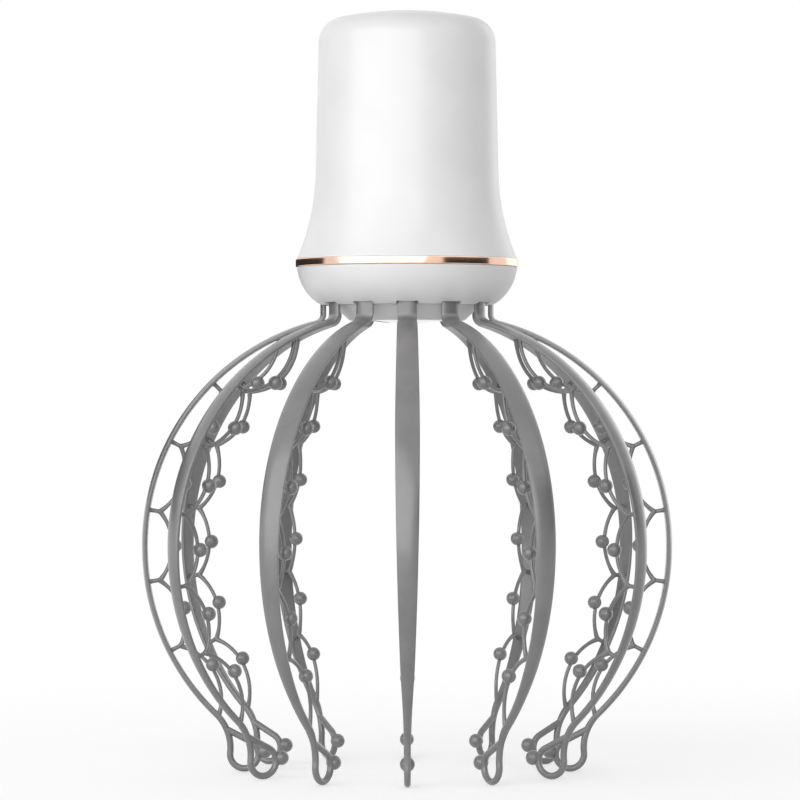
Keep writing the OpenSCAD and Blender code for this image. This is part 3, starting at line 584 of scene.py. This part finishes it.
def clawPlace(index):  # turn about Z of claw 1, 2, ... from the one along +X
    return Matrix.Rotation(math.radians(-90 + 360 * (index - 1) / clawCount), 4, "Z")


def layAcross(piece, place):  # lays a turned piece along Y and moves it to a place in (r, z)
    piece.data.transform(Matrix.Rotation(math.radians(90), 4, "X"))
    piece.data.transform(Matrix.Translation((place.x * mm, 0, place.y * mm)))


def crossBarrel(name, radius, length, edge, segments=40):  # the root of the claw along +X
    half = length / 2
    barrel = lathe(name, softCorners([(0, -half, 0), (radius, -half, edge),
                                      (radius, half, edge), (0, half, 0)]), segments)
    layAcross(barrel, Vector((clawRoot.x, clawRoot.z)))
    return barrel


def ringOfPosts(piece, operation, screws, radius, low, high, segments=32):
    for k in range(screws["count"]):
        post = lathe("post", bandOutline(0, radius, low, high), segments)
        spot = screws["away"] * mm * along(screws["turn"] + 360 * k / screws["count"])
        post.data.transform(Matrix.Translation((spot.x, spot.y, 0)))
        combine(piece, post, operation)


def buildBowl():
    outer = arcPoints(bowlCentre, bowlArcR, 90 - bowl["startTurn"] + bowl["overrun"],
                      90 - bowl["endTurn"], bowl["step"])
    outer = [p for p in outer if p.y < ringLowZ - bowl["arcDown"]]
    outer.insert(0, Vector((rimR, ringLowZ - bowl["rimDown"])))
    outer.insert(0, Vector((rimR - bowl["rimIn"], ringLowZ)))
    lip = roundedEnd(outer[-1], outer[-2], inward, bowl["lipEdge"])
    outer = [p for p in outer if (p - outer[-1]).length > bowl["lipEdge"]]
    floorZ, cavityZ = seamZ + bowl["floor"], seamZ + bowl["cavityZ"]
    inner = [Vector((bowl["bore"], seamZ)), Vector((bowl["bore"], floorZ)),
             Vector((bowl["seatR"], floorZ)), Vector((bowl["seatR"], clawRoot.z)),
             Vector((bowl["wallR"], clawRoot.z)), Vector((bowl["cavityR"], cavityZ)),
             Vector((bowl["cavityR"], ringLowZ))]
    body = lathe("bowlShell", outer + lip + inner, bowl["segments"])
    corners = [(clawRoot.x + side * clawSlot["halfDepth"], end * clawSlot["halfWidth"],
                clawSlot["corner"]) for side, end in ((-1, -1), (1, -1), (1, 1), (-1, 1))]
    mouth = softCorners(corners, clawSlot["cornerSteps"])
    heights = (seamZ - clawSlot["below"], seamZ + clawSlot["top"])
    for index in range(1, clawCount + 1):
        slotCut = loft("slotCut", [[(p.x, p.y, z) for p in mouth] for z in heights])
        pocket = crossBarrel("footPocket", clawFoot["radius"] + clawFoot["gap"],
                             clawFoot["length"] + 2 * clawFoot["gap"], 0)
        for cut in (slotCut, pocket):
            cut.data.transform(clawPlace(index))
            combine(body, cut, "DIFFERENCE")
    ringOfPosts(body, "DIFFERENCE", clampScrews, clampScrews["hole"],
                clawRoot.z - clampScrews["depth"], clawRoot.z + clampScrews["above"])
    ringOfPosts(body, "DIFFERENCE", baseScrews, baseScrews["hole"],
                seamZ - baseScrews["below"], seamZ + baseScrews["above"])
    cleanPiece(body)
    smoothPiece(body)
    seat(body, "housing", "white_satin", "lower_housing")


cap = {
    "topRadius": 25.0, "topEdge": 0.2, "radius": 19.5, "edge": 0.7, "segments": 200, "wall": 2.2,
    "floor": 2.4, "recess": 12.55, "recessEdge": 0.25, "recessDepth": 1.0, "studHole": 2.15,
    "ringOuter": 12.85, "ringInner": 11.4, "ringSink": 0.5, "ringRise": 1.5,
}
plate = {"radius": 12.4, "dome": 1.1, "edge": 0.3, "thickness": 1.0, "stud": 2.0, "step": 1.0,
         "segments": 180}


def buildBaseCap():
    recessZ, floorZ = baseZ + cap["recessDepth"], baseZ + cap["floor"]
    corners = [(cap["topRadius"], seamZ, cap["topEdge"]), (cap["radius"], baseZ, cap["edge"]),
               (cap["recess"], baseZ, cap["recessEdge"]), (cap["recess"], recessZ, 0),
               (cap["studHole"], recessZ, 0), (cap["studHole"], floorZ, 0),
               (cap["radius"] - cap["wall"] / 2, floorZ, 0),
               (cap["topRadius"] - cap["wall"], seamZ, 0)]
    body = lathe("baseCone", softCorners(corners), cap["segments"])
    ring = bandOutline(cap["ringInner"], cap["ringOuter"], floorZ - cap["ringSink"],
                       seamZ + cap["ringRise"])
    combine(body, lathe("centringRing", ring, cap["segments"]), "UNION")
    ringOfPosts(body, "UNION", baseScrews, baseScrews["boss"], recessZ, seamZ)
    ringOfPosts(body, "DIFFERENCE", baseScrews, baseScrews["pilot"],
                seamZ - baseScrews["depth"], seamZ + baseScrews["above"])
    cleanPiece(body)
    smoothPiece(body)
    seat(body, "housing", "pale_grey", "base_cap")


def buildContactPlate():
    radius, dome, stud = plate["radius"], plate["dome"], plate["stud"]
    domeR = (radius ** 2 + dome ** 2) / (2 * dome)
    spread = math.degrees(math.asin(radius / domeR))
    under = arcPoints(Vector((0, baseZ - dome + domeR)), domeR, -90, -90 + spread, plate["step"])
    under[0] = Vector((0, baseZ - dome))
    edge = roundedEnd(under[-1], under[-2], upward, plate["edge"])
    upperZ, studZ = baseZ + plate["thickness"], highOf("contact_plate").z
    outline = [p for p in under if p.x < radius - plate["edge"]] + edge
    outline += [Vector((radius, upperZ)), Vector((stud, upperZ)),
                Vector((stud, studZ)), Vector((0, studZ))]
    disc = lathe("contactDisc", outline, plate["segments"])
    seat(disc, "housing", "polished_steel", "contact_plate")


buildTrimRing()
buildBowl()
buildBaseCap()
buildContactPlate()


print("massager: button, socket and light")
button = {"radius": 7.0, "edge": 0.45, "dish": 0.35, "dishRadius": 4.6, "skirt": 3.4, "below": 0.1,
          "topRadius": 6.9, "topSteps": 30, "segments": 120}


def buildButton():
    crownR = grip["crown"] - button["below"]

    def crownZ(r):
        return crownCentre.y + math.sqrt(crownR ** 2 - r * r)

    def dishDepth(r):  # a shallow finger dish with a soft rim
        return button["dish"] * (1 - easing(r / button["dishRadius"]))

    steps = button["topSteps"]
    radii = [button["topRadius"] * k / steps for k in range(steps + 1)]
    top = [Vector((r, crownZ(r) - dishDepth(r))) for r in radii]
    corner = Vector((button["radius"], crownZ(button["radius"])))
    edge = roundedEnd(corner, corner + inward, -upward, button["edge"])
    low = crownZ(0) - button["skirt"]
    outline = [p for p in top if p.x < button["radius"] - button["edge"]] + edge
    outline += [Vector((button["radius"], low)), Vector((0, low))]
    cover = lathe("crownButton", outline, button["segments"])
    seat(cover, "button", "button_grey", "power_button")


socket = {
    "width": 8.94, "height": 3.26, "wall": 0.35, "floor": 2.0, "core": 0.02,
    "lip": 0.12, "lipIn": 0.4, "lipDown": 0.3,  # the rolled edge, and shares of it
    "tongueWidth": 6.6, "tongueHeight": 0.7, "tongueBack": 1.5, "tongueSide": 1.3,
    "tongueFace": 1.0, "tongueEdge": 0.15,
}
lampLens = {"backEdge": 0.1, "frontEdge": 0.35, "segments": 64}


def stadiumRing(halfWidth, halfHeight, y, z, count=40):
    ring = []
    for k in range(count):
        turn = along(360 * (k + 0.5) / count)
        ring.append((math.copysign(halfWidth - halfHeight, turn.x) + halfHeight * turn.x, y,
                     z + halfHeight * turn.y))
    return ring


def stadiumLoft(name, width, height, profile):  # the profile is (inset, y)
    return loft(name, [stadiumRing(width / 2 - inset, height / 2 - inset, y, portZ)
                       for inset, y in profile])


def buildSocket():
    backY, frontY = lowOf("charging_socket").y, highOf("charging_socket").y
    wall, lip, floorY = socket["wall"], socket["lip"], backY + socket["floor"]
    lipIn, lipY = lip * socket["lipIn"], frontY - lip * socket["lipDown"]
    shell = stadiumLoft("socketShell", socket["width"], socket["height"], [
        (0, backY), (0, frontY - lip), (lipIn, lipY), (wall / 2, frontY), (wall - lipIn, lipY),
        (wall, frontY - lip), (wall, floorY), (socket["height"] / 2 - socket["core"], floorY)])
    tongue = stadiumLoft("socketTongue", socket["tongueWidth"], socket["tongueHeight"], [
        (0, backY + socket["tongueBack"]), (0, frontY - socket["tongueSide"]),
        (socket["tongueEdge"], frontY - socket["tongueFace"])])
    combine(shell, tongue, "UNION")
    smoothPiece(shell)
    seat(shell, "housing", "contact_steel", "charging_socket")


def buildLens():
    low, high = lowOf("indicator_lens"), highOf("indicator_lens")
    radius = (high.x - low.x) / 2
    outline = softCorners([(0, low.y, 0), (radius, low.y, lampLens["backEdge"]),
                           (radius, high.y, lampLens["frontEdge"]), (0, high.y, 0)])
    cover = lathe("lampLens", outline, lampLens["segments"])
    cover.data.transform(Matrix.Rotation(math.radians(-90), 4, "X"))
    cover.data.transform(Matrix.Translation((0, 0, lampZ * mm)))
    bottom = min(v.co.y for v in cover.data.vertices)
    cover.data.transform(Matrix.Translation((0, low.y * mm - bottom, 0)))
    seat(cover, "housing", "lens_clear", "indicator_lens")


buildButton()
buildSocket()
buildLens()


print("massager: claws")
claw = {
    "arcR": 77.5, "bellyR": 88.9, "arcZ": 77.0, "tailAngle": 137.0, "elbowR": 3.1, "neck": 3.0,
    "opening": 0.9, "openFrom": 92.0,  # how far the arc opens below the belly, and from which angle
    "rootWidth": 6.4, "bellyWidth": 8.0, "tailWidth": 2.9, "widestZ": 117.0,
    "upperTaper": 1.5, "lowerTaper": 1.8, "thickness": 1.97, "crown": 0.85, "edgePower": 6.0,
    "roundFrom": 118, "roundShare": 0.45, "legEase": 2.2,  # where the strip turns into round wire
    "bendLength": 4,
}
stripSteps = {"elbow": 12, "arc": 104, "leg": 18, "loop": 34}
lace = {
    "pitch": 18.22, "first": 35.65, "balls": 6, "ballGap": 10.2, "ballR": 2.4, "ballStand": 0.9,
    "forkGap": 4.3, "forkR": 0.95, "wireR": 0.65, "wireFlare": 0.2, "flareShare": 6,
    "strutR": 0.72, "strutFoot": 1.05, "strutEase": 2.2, "strutSteps": 6,
}
tip = {
    "reach": 55.2, "lift": 1.15, "loopR": 4.8, "wireR": 1.13, "join": 0.44,
    "legEnds": (0.35, 0.7, 1.0), "ballR": 2.5, "ballSink": 0.4, "ballBearing": 172.0,
}

arcCentre = Vector((claw["bellyR"] - claw["arcR"], claw["arcZ"]))
elbowX = clawRoot.x + claw["elbowR"]
elbowCentre = Vector((elbowX, arcCentre.y + math.sqrt(
    (claw["arcR"] + claw["elbowR"]) ** 2 - (elbowX - arcCentre.x) ** 2)))
neckAngle = 90 - bearing(arcCentre, elbowCentre)


def onArc(radius, angle):  # a place on the long arc, at an angle from straight up
    below = max(0.0, angle - claw["openFrom"]) / (claw["tailAngle"] - claw["openFrom"])
    return arcCentre + (radius + claw["opening"] * below) * along(90 - angle)


# The tip's leg leaves the arc smoothly, and its loop closes on the leg
tail = onArc(claw["arcR"], claw["tailAngle"])
tailOut = along(90 - claw["tailAngle"])
tipCentre = Vector((tip["reach"], tip["loopR"] + tip["lift"]))
legR = ((tail - tipCentre).length_squared - tip["loopR"] ** 2) \
    / (2 * (tip["loopR"] - (tail - tipCentre).dot(tailOut)))
legCentre = tail + legR * tailOut
legStart = bearing(legCentre, tail)
legTurn = (bearing(legCentre, tipCentre) - legStart + 180) % 360 - 180
joinPoint = legCentre + legR * along(legStart + tip["join"] * legTurn)
innerBearing = bearing(tipCentre, joinPoint) \
    + math.degrees(math.acos(tip["loopR"] / (joinPoint - tipCentre).length))
innerPoint = tipCentre + tip["loopR"] * along(innerBearing)

# Each scallop of the lace runs from fork to fork and past the inside of its ball
ballPassR = claw["arcR"] - lace["ballGap"] + lace["ballStand"]
forkPlaceR = claw["arcR"] - lace["forkGap"]
pitchCosine = math.cos(math.radians(lace["pitch"] / 2))  # of half a pitch
scallopR = (forkPlaceR ** 2 + ballPassR ** 2 - 2 * forkPlaceR * ballPassR * pitchCosine) \
    / (2 * (forkPlaceR * pitchCosine - ballPassR))
scallopPlaceR = ballPassR + scallopR


def scallopHalf(endR):  # the turn of a scallop from its middle to an end at this radius
    return math.degrees(math.acos((scallopR ** 2 + scallopPlaceR ** 2 - endR ** 2)
                                  / (2 * scallopR * scallopPlaceR)))


def stripWidth(z):
    widest = claw["bellyWidth"]
    if z > claw["widestZ"]:
        share = min(1.0, (z - claw["widestZ"]) / (seamZ - claw["widestZ"]))
        return widest - (widest - claw["rootWidth"]) * share ** claw["upperTaper"]
    share = min(1.0, (claw["widestZ"] - z) / (claw["widestZ"] - tail.y))
    return widest - (widest - claw["tailWidth"]) * share ** claw["lowerTaper"]


def crossSection(place, out, halfThick, halfWide, power, crown, count=28):
    ring = []
    for k in range(count):
        turn = along(360 * k / count)
        u = math.copysign(abs(turn.x) ** (2 / power), turn.x) * halfThick
        v = math.copysign(abs(turn.y) ** (2 / power), turn.y) * halfWide
        if u > 0:
            u -= crown * (v / halfWide) ** 2 * (u / halfThick)
        spot = place + out * u
        ring.append((spot.x, v, spot.y))
    return ring


def roundSection(place, out, radius, count=14):
    return crossSection(place, out, radius, radius, power=2, crown=0, count=count)


def stripRings():  # from the foot in the body down to the tip loop
    half = claw["thickness"] / 2
    rings = []

    def add(place, out, width, blend=0.0):  # blend turns the flat strip into round wire
        power = claw["edgePower"] + (2 - claw["edgePower"]) * blend
        thick = half + (tip["wireR"] - half) * blend
        wide = width / 2 + (tip["wireR"] - width / 2) * blend
        rings.append(crossSection(place, out, thick, wide, power, claw["crown"] * (1 - blend)))

    for z in (clawRoot.z, elbowCentre.y + claw["neck"] / 2):
        add(Vector((clawRoot.x, z)), -inward, claw["rootWidth"])
    steps = stripSteps["elbow"]
    for k in range(steps + 1):
        angle = 180 + (90 - neckAngle) * k / steps
        add(elbowCentre + claw["elbowR"] * along(angle), -along(angle), claw["rootWidth"])
    steps = stripSteps["arc"]
    share, start = claw["roundShare"], claw["roundFrom"]
    for k in range(1, steps + 1):
        angle = neckAngle + (claw["tailAngle"] - neckAngle) * k / steps
        place = onArc(claw["arcR"], angle)
        blend = easing((angle - start) / (claw["tailAngle"] - start)) * share
        add(place, along(90 - angle), stripWidth(place.y), blend)
    steps = stripSteps["leg"]
    for k in range(1, steps + 1):
        angle = legStart + legTurn * k / steps
        blend = share + (1 - share) * easing(k / steps * claw["legEase"])
        add(legCentre + legR * along(angle), -along(angle), claw["tailWidth"], blend)
    steps = stripSteps["loop"]
    start = bearing(tipCentre, legCentre)
    sweep = (innerBearing - start) % 360 - 360
    for k in range(1, steps + 1):
        angle = start + sweep * k / steps
        add(tipCentre + tip["loopR"] * along(angle), along(angle), 2 * tip["wireR"], 1.0)
    out = along(innerBearing)
    for share in tip["legEnds"]:  # the inner leg ends inside the outer one
        add(innerPoint.lerp(joinPoint, share), out, 2 * tip["wireR"], 1.0)
    return rings


def wire(name, centre, radius, start, end, steps=22):  # a bow of round wire with flared ends
    rings = []
    for k in range(steps + 1):
        t = k / steps
        angle = start + (end - start) * t
        flare = lace["wireFlare"] * easing(1 - t * lace["flareShare"]) \
            + lace["wireFlare"] * easing(1 - (1 - t) * lace["flareShare"])
        out = along(angle)
        rings.append(roundSection(centre + radius * out, out, lace["wireR"] + flare))
    return loft(name, rings)


def ball(name, place, radius, step=11.25, segments=28):
    outline = arcPoints(Vector((0, 0)), radius, -90, 90, step)
    outline[0], outline[-1] = Vector((0, -radius)), Vector((0, radius))
    piece = lathe(name, outline, segments)
    layAcross(piece, place)
    return piece


def strut(name, start, end):  # thick at the strip and thin at the fork
    out = Vector((-(end - start).y, (end - start).x)).normalized()
    steps, thick, thin = lace["strutSteps"], lace["strutFoot"], lace["strutR"]
    rings = []
    for k in range(steps + 1):
        t = k / steps
        radius = thick + (thin - thick) * easing(t * lace["strutEase"])
        rings.append(roundSection(start.lerp(end, t), out, radius))
    return loft(name, rings)


def buildClawMesh():
    body = loft("clawStrip", stripRings())
    parts = [crossBarrel("clawFoot", clawFoot["radius"], clawFoot["length"], clawFoot["edge"])]
    last = lace["balls"] - 1
    for k in range(lace["balls"]):
        angle = lace["first"] + k * lace["pitch"]
        middle = 270 - angle
        upper = scallopHalf(claw["arcR"] if k == 0 else forkPlaceR)
        lower = scallopHalf(claw["arcR"] if k == last else forkPlaceR)
        parts.append(wire("laceWire", onArc(scallopPlaceR, angle), scallopR,
                          middle - upper, middle + lower))
        parts.append(ball("laceBall", onArc(claw["arcR"] - lace["ballGap"], angle), lace["ballR"]))
        if k < last:
            place = angle + lace["pitch"] / 2
            fork = onArc(forkPlaceR, place)
            parts.append(strut("laceStrut", onArc(claw["arcR"], place), fork))
            parts.append(ball("laceFork", fork, lace["forkR"]))
    ballAway = tip["loopR"] + tip["ballR"] - tip["ballSink"]
    parts.append(ball("tipBall", tipCentre + ballAway * along(tip["ballBearing"]), tip["ballR"]))
    for part in parts:
        combine(body, part, "UNION")
    cleanPiece(body)
    smoothPiece(body, making["clawSharp"])
    return body


def buildClaws():
    first = buildClawMesh()
    print("massager: a claw has", len(first.data.polygons), "faces")
    for index in range(1, clawCount + 1):
        name = f"claw_{index:02d}"
        piece = newObject(f"springClaw{index:02d}", first.data.copy())
        piece.data.transform(clawPlace(index))
        piece.data.materials.clear()
        piece.data.materials.append(finishes["claw_grey"])
        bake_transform(piece)
        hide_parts(name)
    bpy.data.objects.remove(first)


buildClaws()


print("massager: inner pieces")
slotOf = {row["node"]: row["material_slot"] for row in frame["record"]["subparts"]}
for nodeName, node in frame["nodes"].items():  # the pieces inside stay as the CAD made them
    node.data.materials.clear()
    node.data.materials.append(finishes[slotOf[nodeName]])


print("massager: floor, light and camera")
floorLook = {"size": 60.0, "color": 0.72, "roughness": 0.9, "lift": 0.45, "fadeStart": 0.14,
             "fadeEnd": 0.5}
worldLevel = 0.29
softboxAim = (0, 0, 0.15)
softboxes = {
    "keyBox": {"power": 31.2, "size": (3.5, 1.5), "place": (-0.746, -1.404, 0.68), "inGloss": True},
    "fillBox": {"power": 2.0, "size": (1.4, 1.4), "place": (1.15, -0.75, 1.1), "inGloss": True},
    "rimBox": {"power": 2.4, "size": (0.9, 1.2), "place": (0.96, 1.15, 0.4), "inGloss": True},
    "backBox": {"power": 15.0, "size": (2.4, 1.3), "place": (-0.2, 1.65, 0.85), "inGloss": False},
}
cards = {
    "color": 0.02, "roughness": 0.9, "distance": 0.3, "high": 0.206, "steps": 8,
    "spans": ((35, 88, 0.1), (-178, -90, 0.11)),  # first and last turn, lower edge
}
view = {"distance": 1.356, "height": 0.126, "shift": -0.0024, "lens": 180.0, "sensor": 36.0,
        "clipEnd": 20}


def seenRays(tree, rays):  # rays that see the background, straight or by way of metal or glass
    seen = rays.outputs["Is Camera Ray"]
    for ray in ("Is Glossy Ray", "Is Transmission Ray"):
        more = tree.nodes.new("ShaderNodeMath")
        more.operation = "MAXIMUM"
        tree.links.new(seen, more.inputs[0])
        tree.links.new(rays.outputs[ray], more.inputs[1])
        seen = more.outputs["Value"]
    return seen


def buildFloor():
    half = floorLook["size"] / 2
    corners = [(-half, -half, 0), (half, -half, 0), (half, half, 0), (-half, half, 0)]
    mesh = bpy.data.meshes.new("floor")
    mesh.from_pydata(corners, [], [(0, 1, 2, 3)])
    floor = newObject("floor", mesh)
    material, tree, shader, place = newFinish("paleFloor", (floorLook["color"],) * 3,
                                              roughness=floorLook["roughness"])
    shader.inputs["Specular IOR Level"].default_value = 0.0
    seen = seenRays(tree, tree.nodes.new("ShaderNodeLightPath"))

    def seenShare(value):  # a number or a socket, for the rays that see the background
        node = tree.nodes.new("ShaderNodeMath")
        node.operation = "MULTIPLY"
        tree.links.new(seen, node.inputs[0])
        if isinstance(value, float):
            node.inputs[1].default_value = value
        else:
            tree.links.new(value, node.inputs[1])
        return node.outputs["Value"]

    lift = tree.nodes.new("ShaderNodeEmission")
    tree.links.new(seenShare(floorLook["lift"]), lift.inputs["Strength"])
    lifted = tree.nodes.new("ShaderNodeAddShader")
    tree.links.new(shader.outputs["BSDF"], lifted.inputs[0])
    tree.links.new(lift.outputs["Emission"], lifted.inputs[1])
    length = tree.nodes.new("ShaderNodeVectorMath")
    length.operation = "LENGTH"
    tree.links.new(place, length.inputs[0])
    away = ranged(tree, length.outputs["Value"], 0.0, 1.0,
                  floorLook["fadeStart"], floorLook["fadeEnd"])
    white = tree.nodes.new("ShaderNodeEmission")
    faded = tree.nodes.new("ShaderNodeMixShader")  # the floor fades to white away from the massager
    tree.links.new(seenShare(away), faded.inputs[0])
    tree.links.new(lifted.outputs["Shader"], faded.inputs[1])
    tree.links.new(white.outputs["Emission"], faded.inputs[2])
    tree.links.new(faded.outputs["Shader"], tree.nodes["Material Output"].inputs["Surface"])
    mesh.materials.append(material)


def buildWorld():
    world = bpy.data.worlds.new("studioWorld")
    world.use_nodes = True
    tree = world.node_tree
    back = tree.nodes["Background"]
    back.inputs["Color"].default_value = (1, 1, 1, 1)
    seen = seenRays(tree, tree.nodes.new("ShaderNodeLightPath"))
    level = tree.nodes.new("ShaderNodeMapRange")
    level.inputs["To Min"].default_value = worldLevel
    level.inputs["To Max"].default_value = 1.0
    tree.links.new(seen, level.inputs["Value"])
    tree.links.new(level.outputs["Result"], back.inputs["Strength"])
    bpy.context.scene.world = world


def buildLights():
    for name, look in softboxes.items():
        lamp = bpy.data.lights.new(name, "AREA")
        lamp.energy = look["power"]
        lamp.shape = "RECTANGLE"
        lamp.size, lamp.size_y = look["size"]
        box = newObject(name, lamp)
        box.location = look["place"]
        box.visible_camera = False
        box.visible_glossy = look["inGloss"]
        facing = Vector(softboxAim) - Vector(look["place"])
        box.rotation_euler = facing.to_track_quat("-Z", "Y").to_euler()


def addCards():  # dark cards, turned about Z from the camera's side, seen only in the gloss
    material = newFinish("darkCard", (cards["color"],) * 3, roughness=cards["roughness"])[0]
    steps = cards["steps"]
    for first, last, low in cards["spans"]:
        spots = [along(-90 + first + (last - first) * k / steps) * cards["distance"]
                 for k in range(steps + 1)]
        vertices = [(p.x, p.y, z) for z in (low, cards["high"]) for p in spots]
        faces = [(k, k + 1, k + steps + 2, k + steps + 1) for k in range(steps)]
        mesh = bpy.data.meshes.new("card")
        mesh.from_pydata(vertices, [], faces)
        mesh.materials.append(material)
        card = newObject("card", mesh)
        card.visible_camera = card.visible_diffuse = card.visible_shadow = False


def buildCamera():
    optics = bpy.data.cameras.new("camera")
    optics.lens = view["lens"]
    optics.sensor_width = view["sensor"]
    optics.clip_end = view["clipEnd"]
    camera = newObject("camera", optics)
    camera.location = (view["shift"], -view["distance"], view["height"])
    camera.rotation_euler = (math.radians(90), 0, 0)
    bpy.context.scene.camera = camera


buildFloor()
buildWorld()
buildLights()
addCards()
buildCamera()
bpy.context.scene.view_settings.view_transform = "Standard"

print("massager: done")
